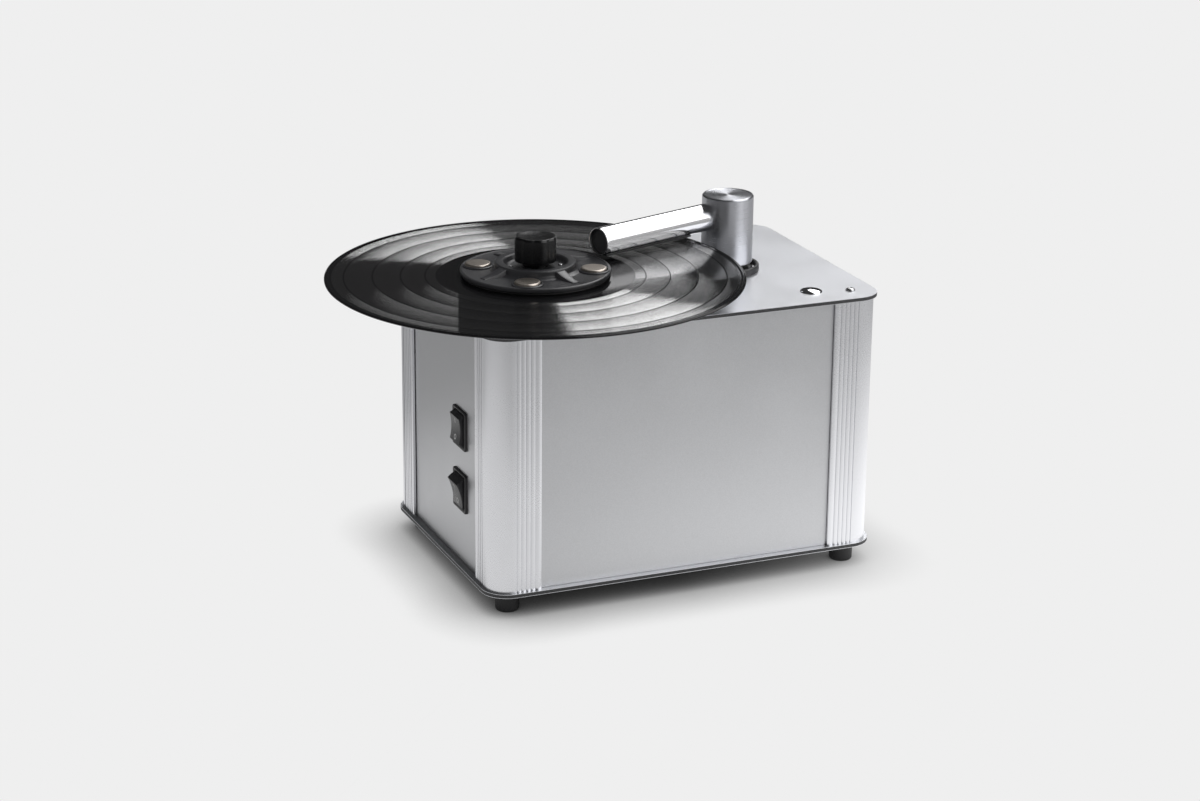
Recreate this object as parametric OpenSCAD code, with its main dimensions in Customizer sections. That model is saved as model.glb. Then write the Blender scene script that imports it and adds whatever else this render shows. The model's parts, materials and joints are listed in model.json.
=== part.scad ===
// Record cleaning machine: a wet-vacuum cleaner for 12-inch records.
// Millimetres, +Z up. The origin is on the floor, under the middle of the whole object,
// the record and the drain included. The modules draw round the middle of the body.
// +X runs right along the long plain front panel, +Y runs to the back.

/* [Body] */
// Length of the top and bottom plates
plate_l = 312; // [300:1:380]
// Width of the top and bottom plates
plate_w = 215.5; // [205:0.5:270]
// Thickness of a plate, skins and core together
plate_t = 3; // [2.5:0.1:5]
// Thickness of each metal skin of a plate
skin_t = 0.3; // [0.2:0.05:0.5]
// Corner radius of the plates
plate_corner_r = 20; // [19:0.5:24]
// How far the plates stand out past the body
plate_overhang = 2.5; // [1:0.1:4]
// Height of the body between the plates
body_h = 191; // [180:1:240]

/* [Feet] */
// Height of a rubber foot
foot_h = 15.5; // [10:0.5:25]
// Radius of a foot where it meets the bottom plate
foot_top_r = 9.2; // [7:0.1:12]
// Radius of a foot on the floor
foot_bottom_r = 8.7; // [6:0.1:11]

/* [Corner profiles] */
// Length of each leg of a corner profile
profile_leg = 37.7; // [36:0.1:46]
// Wall thickness of a profile
profile_wall = 2.2; // [1.8:0.1:3]
// Distance from the outer face to the middle of the first groove
groove_first = 18.7; // [18:0.1:20]
// Distance between grooves
groove_pitch = 3.55; // [3:0.05:3.6]
// Number of grooves on each leg
groove_count = 5; // [2:1:5]
// Width of a groove at its floor
groove_w = 0.55; // [0.3:0.05:1]
// Depth of a groove
groove_d = 0.7; // [0.3:0.05:1]
// Distance of the plate screws from the plate ends
screw_in_x = 20; // [18:0.5:24]
// Distance of the plate screws from the plate sides
screw_in_y = 19.5; // [18:0.5:24]

/* [Panels] */
// Thickness of a panel
panel_t = 2; // [1:0.1:3]
// How deep a panel lies behind the outer faces of the profiles
panel_recess = 2.8; // [2.4:0.1:4]
// How far a panel edge runs into the slot of a profile
panel_engage = 6; // [3:0.5:8]

/* [Turntable] */
// Distance from the left plate end to the spindle
spindle_in_x = 53.7; // [50:0.1:70]
// Distance from the front plate side to the spindle
spindle_in_y = 49.9; // [45:0.1:70]
// Height of the record's upper face above the top plate
record_lift = 29; // [26:0.5:40]
// Radius of the record
record_r = 150.8; // [125:0.1:151]
// Thickness of the record at its rim and middle
record_t = 1.8; // [1.4:0.1:2.4]
// Radius of the spindle pin that the record fits on
spindle_r = 3.55; // [3:0.05:3.6]
// Radius of the platter under the record
platter_r = 50; // [40:1:60]
// Thickness of the platter disc
platter_t = 6; // [4:0.5:8]
// Thickness of the rubber mat
mat_t = 1.5; // [1:0.1:3]
// Radius of the turntable shaft
shaft_r = 4; // [3.6:0.1:5]

/* [Clamp] */
// Radius of the clamp disc
clamp_r = 54.1; // [50:0.1:60]
// Height of the clamp disc's upper face above the record
clamp_top = 4.9; // [4:0.1:8]
// Thickness of the rubber seal under the clamp
seal_t = 1.8; // [1:0.1:2.5]
// Outer radius of the raised hub
hub_r = 29.3; // [26:0.1:32]
// Height of the hub above the record
hub_top = 10.3; // [9:0.1:14]
// Radius of the four magnets
magnet_r = 9.5; // [6:0.1:11]
// Radius of the circle that the magnets lie on
magnet_circle_r = 41.9; // [40:0.1:44]
// Height of the magnets' faces above the record
magnet_top = 7.2; // [6:0.1:8]
// Radius of the knob over its lobes
knob_r = 15.5; // [12:0.1:18]
// Height of the knob
knob_h = 18.6; // [12:0.1:24]

/* [Arm] */
// Distance from the right plate end to the arm's post
post_in_x = 81.9; // [70:0.1:95]
// Place of the post across the body, from its centre line
post_y = -4; // [-10:0.5:10]
// Radius of the post
post_r = 19.4; // [18:0.1:24]
// Height of the post's top above the top plate, arm raised
post_top = 58.6; // [50:0.1:70]
// Gap between the raised post and the top plate
post_gap = 6.8; // [6:0.1:12]
// Distance of the arm's axis below the post's top
arm_drop = 16.3; // [14:0.1:20]
// Outer radius of the arm tube
arm_r = 10.3; // [8:0.1:12]
// Wall of the arm tube
arm_wall = 1; // [0.8:0.1:1.6]
// Gap between the arm's open end and the clamp disc
arm_tip_gap = 5.6; // [0.5:0.1:6]
// Angle between the arm and the line from the post to the spindle
arm_turn = 1.9; // [0:0.1:2.4]
// How far the arm goes down to the record
arm_travel = 1.7; // [1:0.1:1.7]
// Width of the suction slot under the arm
slot_w = 2; // [1:0.1:3]
// Width of a velvet strip
velvet_w = 3; // [2:0.1:4]
// How far the velvet stands below the tube
velvet_t = 1; // [0.8:0.1:1]
// Clearance round the post in the collar
collar_gap = 2.4; // [1:0.1:4]
// Wall of the collar
collar_wall = 2.9; // [2:0.1:4]
// Height of the collar
collar_h = 5; // [4:0.1:6]
// Outer radius of the riser pipe
riser_r = 14; // [11.5:0.1:14.5]
// Wall of the riser pipe
riser_wall = 1.8; // [1:0.1:2.5]

/* [Switches] */
// Width of a switch bezel
bezel_w = 26; // [24:0.5:30]
// Height of a switch bezel
bezel_h = 30; // [28:0.5:34]
// Distance of the switches in front of the body's centre line
switch_y = -32.5; // [-44:0.5:0]
// Height of the upper switch above the floor
motor_switch_z = 123; // [116:0.5:140]
// Height of the lower switch above the floor
vacuum_switch_z = 74.5; // [60:0.5:82]
// Swing of a rocker to each side
rocker_tilt = 13; // [8:0.5:13]

/* [Vacuum and tank] */
// Radius of the fan case
fan_case_r = 50; // [45:1:54]
// Height of the fan case
fan_case_h = 47; // [40:1:55]
// Radius of the vacuum motor
vac_motor_r = 36; // [30:1:42]
// Wall of the waste tank
tank_wall = 3; // [2:0.5:5]
// Width of the waste tank
tank_w = 156; // [120:1:156]
// Outer radius of a hose spigot
spigot_r = 12; // [10:0.5:13]
// Wall of the suction pipe
pipe_wall = 2.2; // [1.5:0.1:3]
// Outer radius of the drain spigot
drain_r = 5; // [4:0.5:8]
// Height of the drain above the floor
drain_z = 34; // [32:0.5:60]

/* [Fits] */
// Radial clearance of a shaft, pin or pipe that turns or slides
run_fit = 0.05; // [0.02:0.01:0.1]
// Clearance round fixed pieces
fixed_gap = 0.1; // [0.05:0.05:0.3]
// Gap between moving pieces that don't guide each other
move_gap = 0.3; // [0.3:0.05:1]

/* [Hidden] */
$fn = 96;
eps = 0.01;
floor_z = foot_h + plate_t;
roof_z = floor_z + body_h;
deck_z = roof_z + plate_t;
half_l = plate_l / 2;
half_w = plate_w / 2;
body_hx = half_l - plate_overhang;
body_hy = half_w - plate_overhang;
body_corner_r = plate_corner_r - plate_overhang;
spindle_x = -half_l + spindle_in_x;
spindle_y = -half_w + spindle_in_y;
post_x = half_l - post_in_x;
screw_x = half_l - screw_in_x;
screw_y = half_w - screw_in_y;
screw_r = 2;
screw_len = 16;
head_r = 3.6;
head_h = 1.9;
socket_r = 1.25;
port_r = 4.4;

// Slot of a profile that holds a panel
slot_front = panel_recess - 0.3;
slot_back = panel_recess + panel_t + 0.3;
slot_wall = 1.8;
slot_len = panel_engage + 0.5;
rib_r = 5.5;

// Panels
panel_z0 = floor_z + 0.15;
panel_h = body_h - 0.3;
panel_half_l = body_hx - profile_leg + panel_engage;
panel_half_w = body_hy - profile_leg + panel_engage;
panel_fy = body_hy - panel_recess;
panel_fx = body_hx - panel_recess;

// Heights of the turntable
record_z = deck_z + record_lift;
record_low = record_z - record_t;
groove_sink = 0.3;
label_r = 57;
rim_w = 5;
platter_z = record_low - mat_t - platter_t;
hub_neck_r = 16;
housing_r = 17;
housing_top = deck_z + 3.5;
housing_low = roof_z - 44.5;
flange_r = 30;
flange_t = 4;
bearing_r = 11;
bearing_w = 7;
bell_r = 25;
bell_h = 15;
gearbox_z = housing_low - bell_h;
gearbox_h = 25;
motor_r = 16;
motor_h = 55;
output_r = 3;
coupling_r = 9;
coupling_h = 12;
housing_screw_r = 24;

// Clamp
disc_z = record_z + seal_t;
disc_top = record_z + clamp_top;
hub_z = record_z + hub_top;
knob_z = hub_z - 0.1;
hub_inner_r = 21;
knob_neck_r = 9;
magnet_phase = 150.65;
seal_gap = 0.05;
boss_h = 0.8;
pin_top = knob_z + 10;

// Arm
post_z = deck_z + post_gap;
post_top_z = deck_z + post_top;
arm_z = post_top_z - arm_drop;
to_spindle = atan2(spindle_y - post_y, spindle_x - post_x);
arm_a = to_spindle + arm_turn;
pivot_span = norm([spindle_x - post_x, spindle_y - post_y]);
arm_reach = pivot_span * cos(arm_turn);
arm_aside = pivot_span * sin(arm_turn);
arm_len = arm_reach - clamp_r - arm_tip_gap;
arm_bore_r = arm_r - arm_wall;
arm_root = sqrt(pow(post_r, 2) - pow(arm_aside + arm_r + fixed_gap / 2, 2)) - 0.8;
plug_t = 3;
plug_recess = 2.5;
suction_end = arm_len - plug_recess - plug_t - 0.4;
suction_start = arm_reach - record_r + 3;
velvet_inner = slot_w / 2 + 0.2;
riser_in_r = riser_r - riser_wall;
riser_top = arm_z - arm_r - 3.5;
collar_recess_r = post_r + collar_gap;
collar_r = collar_recess_r + collar_wall;
collar_screw_circle = collar_recess_r - 1.8;
collar_floor = 1.5;
guide_r = riser_r + 2.5;
guide_top = deck_z + 2.5;
guide_low = roof_z - 22;
guide_flange_r = collar_screw_circle + 3.4;
seat_r = riser_r + 5.5;
seat_t = 2.5;
seat_z = guide_low - move_gap - seat_t;
collar_screw_r = 1.5;
collar_screw_turn = -20;

// Dome plug in the top plate
dome_x = half_l - 48.4;
dome_y = -half_w + 27.5;
dome_r = 8.4;
dome_h = 2.4;
dome_sphere_r = (dome_r * dome_r + dome_h * dome_h) / (2 * dome_h);
dome_skirt_r = 5;

// Vacuum motor and tank
vac_x = -half_l + 117;
vac_y = 42;
mount_h = 9.5;
vac_base = floor_z + mount_h;
fan_z = roof_z - 79.5 - fan_case_h + 0.5;
motor_top_t = 3;
fan_wall = 2;
inlet_h = 18;
outlet_h = 12;
impeller_r = fan_case_r - 7;
impeller_h = 16;
impeller_z = fan_z + 12;
vane_count = 9;
fan_shaft_r = 4;
tank_x0 = vac_x + fan_case_r + 12;
tank_x1 = panel_fx - panel_t - 7.7;
tank_top = roof_z - 69.5;
gasket_t = 1.5;
lid_z = tank_top + gasket_t;
lid_t = 4;
gland_r = riser_r + 8;
gland_h = 13;
gland_top = lid_z + lid_t + gland_h;
riser_low = lid_z - 7;
o_ring_h = 3;
o_ring_r = riser_r + 3;
outlet_x = tank_x0 + 27;
outlet_y = 50;
outlet_top = lid_z + lid_t + outlet_h;
inlet_top = fan_z + fan_case_h + inlet_h;
pipe_r = spigot_r + run_fit + pipe_wall;
pipe_z = roof_z - 2 * pipe_r - 4;
pipe_run = norm([outlet_x - vac_x, outlet_y - vac_y]);
pipe_a = atan2(outlet_y - vac_y, outlet_x - vac_x);
lid_screw_in = 5.5;
boss_r = 4.5;

// Lift spring
spring_r = riser_r + 3;
wire_r = 1;
spring_low = gland_top;
spring_high = seat_z;
spring_turns = 5;
spring_steps = 14;

// Drain valve on the rear panel
drain_x = tank_x0 + 40;
valve_r = 9;
valve_len = 16;
drain_spigot_len = 14;
drain_bore_r = drain_r - 1.6;
lever_hub_r = 5.5;
lever_len = 30;
lever_w = 8;
lever_t = 2.5;
stem_r = 2.5;

// Mains inlet on the rear panel
inlet_w = 31;
inlet_gap = 5.3;
inlet_x = profile_leg - body_hx + inlet_gap + inlet_w / 2;
inlet_z = floor_z + 34;
inlet_face_h = 24;
inlet_depth = 22;
inlet_cavity_w = 24.5;
inlet_cavity_h = 16.5;
inlet_cavity_d = 16;
prong_w = 2;
prong_h = 4;
prong_len = 14;

// Exhaust grille on the rear panel
grille_w = 64;
grille_h = 44;
grille_z = fan_z + 18;
grille_slots = 7;
grille_pitch = 5.4;

// Middle of the whole object, seen from above
centre_x = (spindle_x - record_r + half_l) / 2;
centre_y = (spindle_y - record_r + panel_fy + valve_len + drain_spigot_len) / 2;

// Electronics
supply_x = vac_x - 26;
supply_l = 70;
supply_w = 60;
supply_h = 38;
supply_y = -half_w + 48;
board_x = -panel_fx + panel_t + 7;
board_t = 1.6;
board_w = 66;
board_gap = 2.55;
board_y = body_hy - profile_leg - board_gap - board_w / 2;
board_h = 100;
board_z = floor_z + 72;

// Rocker switches: u is the distance out from the panel's face
bezel_t = 2;
switch_body_h = bezel_h - 2.6;
window_h = bezel_h / 2 - 2.6;
window_w = bezel_w / 2 - 2.9;
cavity_h = switch_body_h / 2 - 0.7;
lip_t = 1.2;
rocker_w = window_w - 0.4;
rocker_pivot_u = -2.5;
rocker_edge = 7.7;
rocker_r = window_h + 0.1;
rocker_half = sqrt(rocker_r * rocker_r - rocker_edge * rocker_edge);
rocker_keel = 6;
dish_r = 40;
switch_depth = 20;
cavity_depth = 9;
pin_r = 1.2;

// Helpers

// Moves the body so that the whole object's middle is over the origin
module placed() {
    translate([-centre_x, -centre_y, 0]) children();
}

// A ring or tube between two radii
module tube(r_out, r_in, h) {
    difference() {
        cylinder(r = r_out, h = h);
        translate([0, 0, -1]) cylinder(r = r_in, h = h + 2);
    }
}

// A rectangle with round corners, drawn with true arcs
module round_rect(x, y, r) {
    square([x, y - 2 * r], center = true);
    square([x - 2 * r, y], center = true);
    for (sx = [-1, 1], sy = [-1, 1])
        translate([sx * (x / 2 - r), sy * (y / 2 - r)]) circle(r = r);
}

// Puts a child at the four plate screws
module at_screws() {
    for (sx = [-1, 1], sy = [-1, 1]) translate([sx * screw_x, sy * screw_y, 0]) children();
}

module at_spindle() {
    translate([spindle_x, spindle_y, 0]) children();
}

module at_post() {
    translate([post_x, post_y, 0]) children();
}

module at_vacuum() {
    translate([vac_x, vac_y, 0]) children();
}

// Axis of the arm: +X of the child runs from the post to the open end, along a radius of the record
module along_arm() {
    translate([post_x, post_y, arm_z]) rotate([0, 0, arm_a]) translate([0, -arm_aside, 0]) children();
}

// Button head screw, head up, standing on z = 0
module button_screw(r, len, hr, hh, sr) {
    sphere_r = (hr * hr + hh * hh) / (2 * hh);
    difference() {
        union() {
            intersection() {
                translate([0, 0, hh - sphere_r]) sphere(r = sphere_r);
                cylinder(r = hr, h = hh + 1);
            }
            translate([0, 0, -len]) cylinder(r = r, h = len + eps);
        }
        translate([0, 0, hh * 0.4]) cylinder(r = sr, h = hh + 1, $fn = 6);
    }
}

// Plain cheese head screw, head up, standing on z = 0
module cheese_screw(r, len, hr, hh) {
    difference() {
        union() {
            cylinder(r = hr, h = hh);
            translate([0, 0, -len]) cylinder(r = r, h = len + eps);
        }
        translate([-hr - 1, -hr * 0.15, hh * 0.5]) cube([2 * hr + 2, hr * 0.3, hh]);
    }
}

// Plates

module top_holes() {
    at_spindle() circle(r = housing_r + fixed_gap);
    at_post() circle(r = guide_r + fixed_gap);
    at_screws() circle(r = screw_r + fixed_gap);
    translate([dome_x, dome_y]) circle(r = dome_skirt_r + fixed_gap);
    at_spindle() for (a = [45:90:315])
        rotate(a) translate([housing_screw_r, 0]) circle(r = screw_r + fixed_gap);
    at_post() for (a = [0:120:240])
        rotate(a + collar_screw_turn) translate([collar_screw_circle, 0]) circle(r = 1.1);
}

module bottom_holes() {
    at_screws() circle(r = screw_r + fixed_gap);
}

module plate_layer(z, t) {
    translate([0, 0, z]) linear_extrude(height = t) difference() {
        round_rect(plate_l, plate_w, plate_corner_r);
        children();
    }
}

module top_plate_core() {
    color("dimgray") placed() plate_layer(roof_z + skin_t, plate_t - 2 * skin_t) top_holes();
}

module top_plate_skins() {
    color("silver") placed() for (z = [roof_z, deck_z - skin_t]) plate_layer(z, skin_t) top_holes();
}

module bottom_plate_core() {
    color("dimgray") placed() plate_layer(foot_h + skin_t, plate_t - 2 * skin_t) bottom_holes();
}

module bottom_plate_skins() {
    color("silver") placed() for (z = [foot_h, floor_z - skin_t]) plate_layer(z, skin_t) bottom_holes();
}

// Corner profiles

// Everything inside the outer faces of a corner, drawn in by d and cut off at reach
module corner_area(d, reach) {
    translate([body_corner_r, d]) square([reach - body_corner_r, reach - d]);
    translate([d, body_corner_r]) square([reach - d, reach - body_corner_r]);
    translate([body_corner_r, body_corner_r]) circle(r = body_corner_r - d);
}

// Cuts the grooves of one leg and crowns the ribs between them
module leg_grooves() {
    zone_end = groove_first + groove_count * groove_pitch;
    difference() {
        translate([groove_first - groove_w / 2, -1])
            square([profile_leg - groove_first + groove_w / 2 + 1, 1 + groove_d]);
        for (i = [0:groove_count - 1]) {
            rib_w = (i < groove_count - 1 ? groove_pitch
                : profile_leg - groove_first - (groove_count - 1) * groove_pitch + groove_w / 2)
                - groove_w;
            rib_x = groove_first + i * groove_pitch + groove_w / 2;
            intersection() {
                translate([rib_x, 0]) square([rib_w, groove_d + 1]);
                translate([rib_x + rib_w / 2, rib_r]) circle(r = rib_r);
            }
        }
    }
}

// Walls behind one leg that hold the panel edge
module leg_slot() {
    translate([profile_leg - slot_len - slot_wall, profile_wall - eps])
        square([slot_wall, slot_back + slot_wall - profile_wall + eps]);
    translate([profile_leg - slot_len - slot_wall, slot_back])
        square([slot_len + slot_wall, slot_wall]);
    translate([profile_leg - slot_len - slot_wall, profile_wall - eps])
        square([slot_wall + 1, slot_front - profile_wall + eps]);
}

module profile_section() {
    px = body_hx - screw_x;
    py = body_hy - screw_y;
    web = 1.6;
    difference() {
        union() {
            difference() {
                corner_area(0, profile_leg);
                corner_area(profile_wall, profile_leg + 1);
            }
            leg_slot();
            mirror([1, -1]) leg_slot();
            translate([px, py]) circle(r = port_r);
            translate([px - web / 2, profile_wall - eps]) square([web, py - profile_wall]);
            translate([profile_wall - eps, py - web / 2]) square([px - profile_wall, web]);
        }
        leg_grooves();
        mirror([1, -1]) leg_grooves();
        translate([px, py]) circle(r = screw_r + run_fit);
    }
}

module corner_profile(sx, sy) {
    color("gainsboro") placed() mirror([sx > 0 ? 1 : 0, 0, 0]) mirror([0, sy > 0 ? 1 : 0, 0])
        translate([-body_hx, -body_hy, floor_z])
            linear_extrude(height = body_h) profile_section();
}

module profile_front_left() {
    corner_profile(-1, -1);
}

module profile_front_right() {
    corner_profile(1, -1);
}

module profile_rear_left() {
    corner_profile(-1, 1);
}

module profile_rear_right() {
    corner_profile(1, 1);
}

// Panels

module front_panel() {
    color("silver") placed() translate([-panel_half_l, -panel_fy, panel_z0])
        cube([2 * panel_half_l, panel_t, panel_h]);
}

module rear_panel() {
    color("silver") placed() difference() {
        translate([-panel_half_l, panel_fy - panel_t, panel_z0])
            cube([2 * panel_half_l, panel_t, panel_h]);
        translate([drain_x, panel_fy + 1, drain_z]) rotate([90, 0, 0])
            cylinder(r = drain_r + 2 + fixed_gap, h = panel_t + 2);
        translate([inlet_x - inlet_w / 2 + 2, panel_fy - panel_t - 1, inlet_z - inlet_face_h / 2 + 2])
            cube([inlet_w - 4, panel_t + 2, inlet_face_h - 4]);
        translate([vac_x - grille_w / 2 + 5, panel_fy - panel_t - 1, grille_z - grille_h / 2 + 5])
            cube([grille_w - 10, panel_t + 2, grille_h - 10]);
    }
}

module switch_cut(z) {
    translate([-panel_fx - 1, switch_y - bezel_w / 2 + 2, z - switch_body_h / 2 - fixed_gap])
        cube([panel_t + 2, bezel_w - 4, switch_body_h + 2 * fixed_gap]);
}

module left_panel() {
    color("silver") placed() difference() {
        translate([-panel_fx, -panel_half_w, panel_z0]) cube([panel_t, 2 * panel_half_w, panel_h]);
        switch_cut(motor_switch_z);
        switch_cut(vacuum_switch_z);
    }
}

module right_panel() {
    color("silver") placed() translate([panel_fx - panel_t, -panel_half_w, panel_z0])
        cube([panel_t, 2 * panel_half_w, panel_h]);
}

// Feet and fasteners

module top_screws() {
    color("lightgray") placed() at_screws() translate([0, 0, deck_z])
        button_screw(screw_r, screw_len, head_r, head_h, socket_r);
}

module foot_screws() {
    color("gray") placed() at_screws() translate([0, 0, foot_h - 6]) rotate([180, 0, 0])
        cheese_screw(screw_r, 6 + plate_t + screw_len, 3.5, 2.4);
}

module feet() {
    edge = 0.7;
    color("#1c1c1c") placed() at_screws() difference() {
        union() {
            translate([0, 0, edge])
                cylinder(r1 = foot_bottom_r, r2 = foot_top_r, h = foot_h - edge);
            cylinder(r1 = foot_bottom_r - edge, r2 = foot_bottom_r, h = edge);
        }
        translate([0, 0, -1]) cylinder(r = 4.2, h = foot_h - 6 + 1);
        cylinder(r = screw_r + fixed_gap, h = foot_h + 1);
    }
}

module dome_plug() {
    color("whitesmoke") placed() translate([dome_x, dome_y, deck_z]) difference() {
        union() {
            intersection() {
                translate([0, 0, dome_h - dome_sphere_r]) sphere(r = dome_sphere_r);
                cylinder(r = dome_r + 1, h = dome_h + 1);
            }
            translate([0, 0, -plate_t - 2]) cylinder(r = dome_skirt_r, h = plate_t + 2 + eps);
        }
        translate([0, 0, -plate_t - 3]) cylinder(r = dome_skirt_r - 1.2, h = plate_t + 3);
    }
}

// Collar, guide and spring of the arm

module arm_collar() {
    edge = 0.6;
    color("#202020") placed() at_post() translate([0, 0, deck_z]) difference() {
        union() {
            cylinder(r = collar_r, h = collar_h - edge);
            translate([0, 0, collar_h - edge]) cylinder(r1 = collar_r, r2 = collar_r - edge, h = edge);
        }
        translate([0, 0, collar_floor]) cylinder(r = collar_recess_r, h = collar_h);
        translate([0, 0, -1]) cylinder(r = guide_r + fixed_gap, h = collar_h);
        for (a = [0:120:240]) rotate(a + collar_screw_turn)
            translate([collar_screw_circle, 0, -1]) cylinder(r = 1.1, h = collar_h);
    }
}

module collar_screws() {
    color("silver") placed() at_post() for (a = [0:120:240]) rotate(a + collar_screw_turn)
        translate([collar_screw_circle, 0, deck_z + collar_floor])
            button_screw(1, collar_floor + plate_t + 2.5, collar_screw_r, 0.9, 0.5);
}

module riser_guide() {
    color("#303030") placed() at_post() difference() {
        union() {
            translate([0, 0, guide_low]) cylinder(r = guide_r, h = guide_top - guide_low);
            translate([0, 0, roof_z - 3]) cylinder(r = guide_flange_r, h = 3);
        }
        translate([0, 0, guide_low - 1]) cylinder(r = riser_r + run_fit, h = guide_top - guide_low + 2);
        for (a = [0:120:240]) rotate(a + collar_screw_turn)
            translate([collar_screw_circle, 0, roof_z - 4]) cylinder(r = 1.1, h = 5);
    }
}

// Wire of the spring as one swept tube of six sides, with flat ends
function spring_point(t) = [spring_r * cos(360 * spring_turns * t),
    spring_r * sin(360 * spring_turns * t),
    spring_low + wire_r + eps + (spring_high - spring_low - 2 * wire_r - 2 * eps) * t];

module lift_spring() {
    sides = 6;
    rings = spring_turns * spring_steps;
    points = [for (i = [0:rings], j = [0:sides - 1])
        let (t = i / rings, c = spring_point(t), a = 360 * spring_turns * t,
            b = 360 * j / sides)
        [c[0] + wire_r * cos(b) * cos(a), c[1] + wire_r * cos(b) * sin(a), c[2] + wire_r * sin(b)]];
    faces = concat(
        [[for (j = [0:sides - 1]) j]],
        [[for (j = [sides - 1:-1:0]) rings * sides + j]],
        [for (i = [0:rings - 1], j = [0:sides - 1])
            [i * sides + j, (i + 1) * sides + j, (i + 1) * sides + (j + 1) % sides]],
        [for (i = [0:rings - 1], j = [0:sides - 1])
            [i * sides + j, (i + 1) * sides + (j + 1) % sides, i * sides + (j + 1) % sides]]);
    color("gray") placed() at_post() polyhedron(points = points, faces = faces);
}

// Turntable drive

module bearing_housing() {
    color("darkgray") placed() at_spindle() difference() {
        union() {
            translate([0, 0, housing_low]) cylinder(r = housing_r, h = housing_top - housing_low);
            translate([0, 0, roof_z - flange_t]) cylinder(r = flange_r, h = flange_t);
            translate([0, 0, gearbox_z]) cylinder(r = bell_r, h = bell_h + 4);
        }
        translate([0, 0, gearbox_z - 1]) cylinder(r = shaft_r + 3, h = 200);
        translate([0, 0, gearbox_z - 1]) cylinder(r = coupling_r + 3, h = bell_h + 1);
        translate([0, 0, housing_top - bearing_w]) cylinder(r = bearing_r, h = bearing_w + 1);
        translate([0, 0, housing_low]) cylinder(r = bearing_r, h = bearing_w);
        for (a = [45:90:315]) rotate(a) {
            translate([housing_screw_r, 0, roof_z - flange_t - 1]) cylinder(r = screw_r + run_fit, h = 10);
            translate([bell_r - 5, 0, gearbox_z - 1]) cylinder(r = 1.5 + run_fit, h = 12);
        }
    }
}

module housing_screws() {
    color("lightgray") placed() at_spindle() for (a = [45:90:315]) rotate(a)
        translate([housing_screw_r, 0, deck_z]) button_screw(screw_r, plate_t + flange_t, head_r, head_h, socket_r);
}

module shaft_bearings() {
    color("lightgray") placed() at_spindle() for (z = [housing_low, housing_top - bearing_w])
        translate([0, 0, z]) tube(bearing_r, shaft_r, bearing_w);
}

module gearbox() {
    color("slategray") placed() at_spindle() difference() {
        translate([0, 0, gearbox_z - gearbox_h]) cylinder(r = bell_r, h = gearbox_h);
        translate([0, 0, gearbox_z - 12]) cylinder(r = output_r + run_fit, h = 13);
        for (a = [45:90:315]) rotate(a) translate([bell_r - 5, 0, gearbox_z - gearbox_h - 1])
            cylinder(r = 1.5 + run_fit, h = gearbox_h + 2);
    }
}

module drive_motor() {
    color("dimgray") placed() at_spindle() {
        translate([0, 0, gearbox_z - gearbox_h - motor_h + 3]) cylinder(r = motor_r, h = motor_h - 3);
        translate([0, 0, gearbox_z - gearbox_h - motor_h]) cylinder(r = motor_r - 6, h = 4);
    }
}

module drive_screws() {
    color("lightgray") placed() at_spindle() for (a = [45:90:315]) rotate(a)
        translate([bell_r - 5, 0, gearbox_z - gearbox_h]) rotate([180, 0, 0])
            cheese_screw(1.5, gearbox_h + 10, 2.8, 2);
}

module turntable_shaft() {
    color("lightgray") placed() at_spindle() {
        translate([0, 0, gearbox_z - 11]) cylinder(r = output_r, h = 12);
        translate([0, 0, gearbox_z + 1]) cylinder(r = coupling_r, h = coupling_h);
        translate([0, 0, gearbox_z + 1]) cylinder(r = shaft_r - run_fit, h = platter_z + platter_t - gearbox_z - 1);
        translate([0, 0, platter_z]) cylinder(r = spindle_r, h = pin_top - platter_z);
    }
}

module platter() {
    skirt_z = housing_top + 1;
    color("gray") placed() at_spindle() difference() {
        union() {
            translate([0, 0, platter_z]) cylinder(r = platter_r, h = platter_t);
            translate([0, 0, skirt_z]) cylinder(r = hub_neck_r, h = platter_z - skirt_z + eps);
        }
        translate([0, 0, skirt_z - 1]) cylinder(r = shaft_r - run_fit, h = 40);
    }
}

module platter_mat() {
    color("#262626") placed() at_spindle() translate([0, 0, platter_z + platter_t])
        tube(platter_r, spindle_r + fixed_gap, mat_t);
}

// Record: thick at the rim and the middle, thinner where the grooves lie
module record() {
    top = record_z;
    low = record_low;
    flat = 0.35;
    color("#111111") placed() at_spindle() rotate_extrude() polygon([
        [spindle_r + run_fit, low], [label_r, low], [label_r + 1.5, low + groove_sink],
        [record_r - rim_w, low + groove_sink], [record_r - rim_w / 2, low + flat / 2],
        [record_r - flat, low], [record_r, low + flat], [record_r, top - flat],
        [record_r - flat, top], [record_r - rim_w / 2, top - flat / 2],
        [record_r - rim_w, top - groove_sink], [label_r + 1.5, top - groove_sink],
        [label_r, top], [spindle_r + run_fit, top]]);
}

// Clamp

// Places a child on the magnets' circle
module at_magnets() {
    for (i = [0:3]) rotate(magnet_phase + 90 * i) translate([magnet_circle_r, 0, 0]) children();
}

module clamp_rib() {
    rib_w = 8.4;
    tip_w = 5.6;
    rib_end = clamp_r - 6.5;
    start = hub_r - 4;
    high = hub_top - clamp_top - 0.4;
    low = 0.6;
    polyhedron(
        points = [[start, -rib_w / 2, -eps], [rib_end, -tip_w / 2, -eps],
            [rib_end, tip_w / 2, -eps], [start, rib_w / 2, -eps],
            [start, -rib_w / 2 + 0.8, high], [rib_end - 0.5, -tip_w / 2 + 0.6, low],
            [rib_end - 0.5, tip_w / 2 - 0.6, low], [start, rib_w / 2 - 0.8, high]],
        faces = [[0, 1, 2, 3], [7, 6, 5, 4], [0, 4, 5, 1], [1, 5, 6, 2], [2, 6, 7, 3], [3, 7, 4, 0]]);
}

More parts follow.
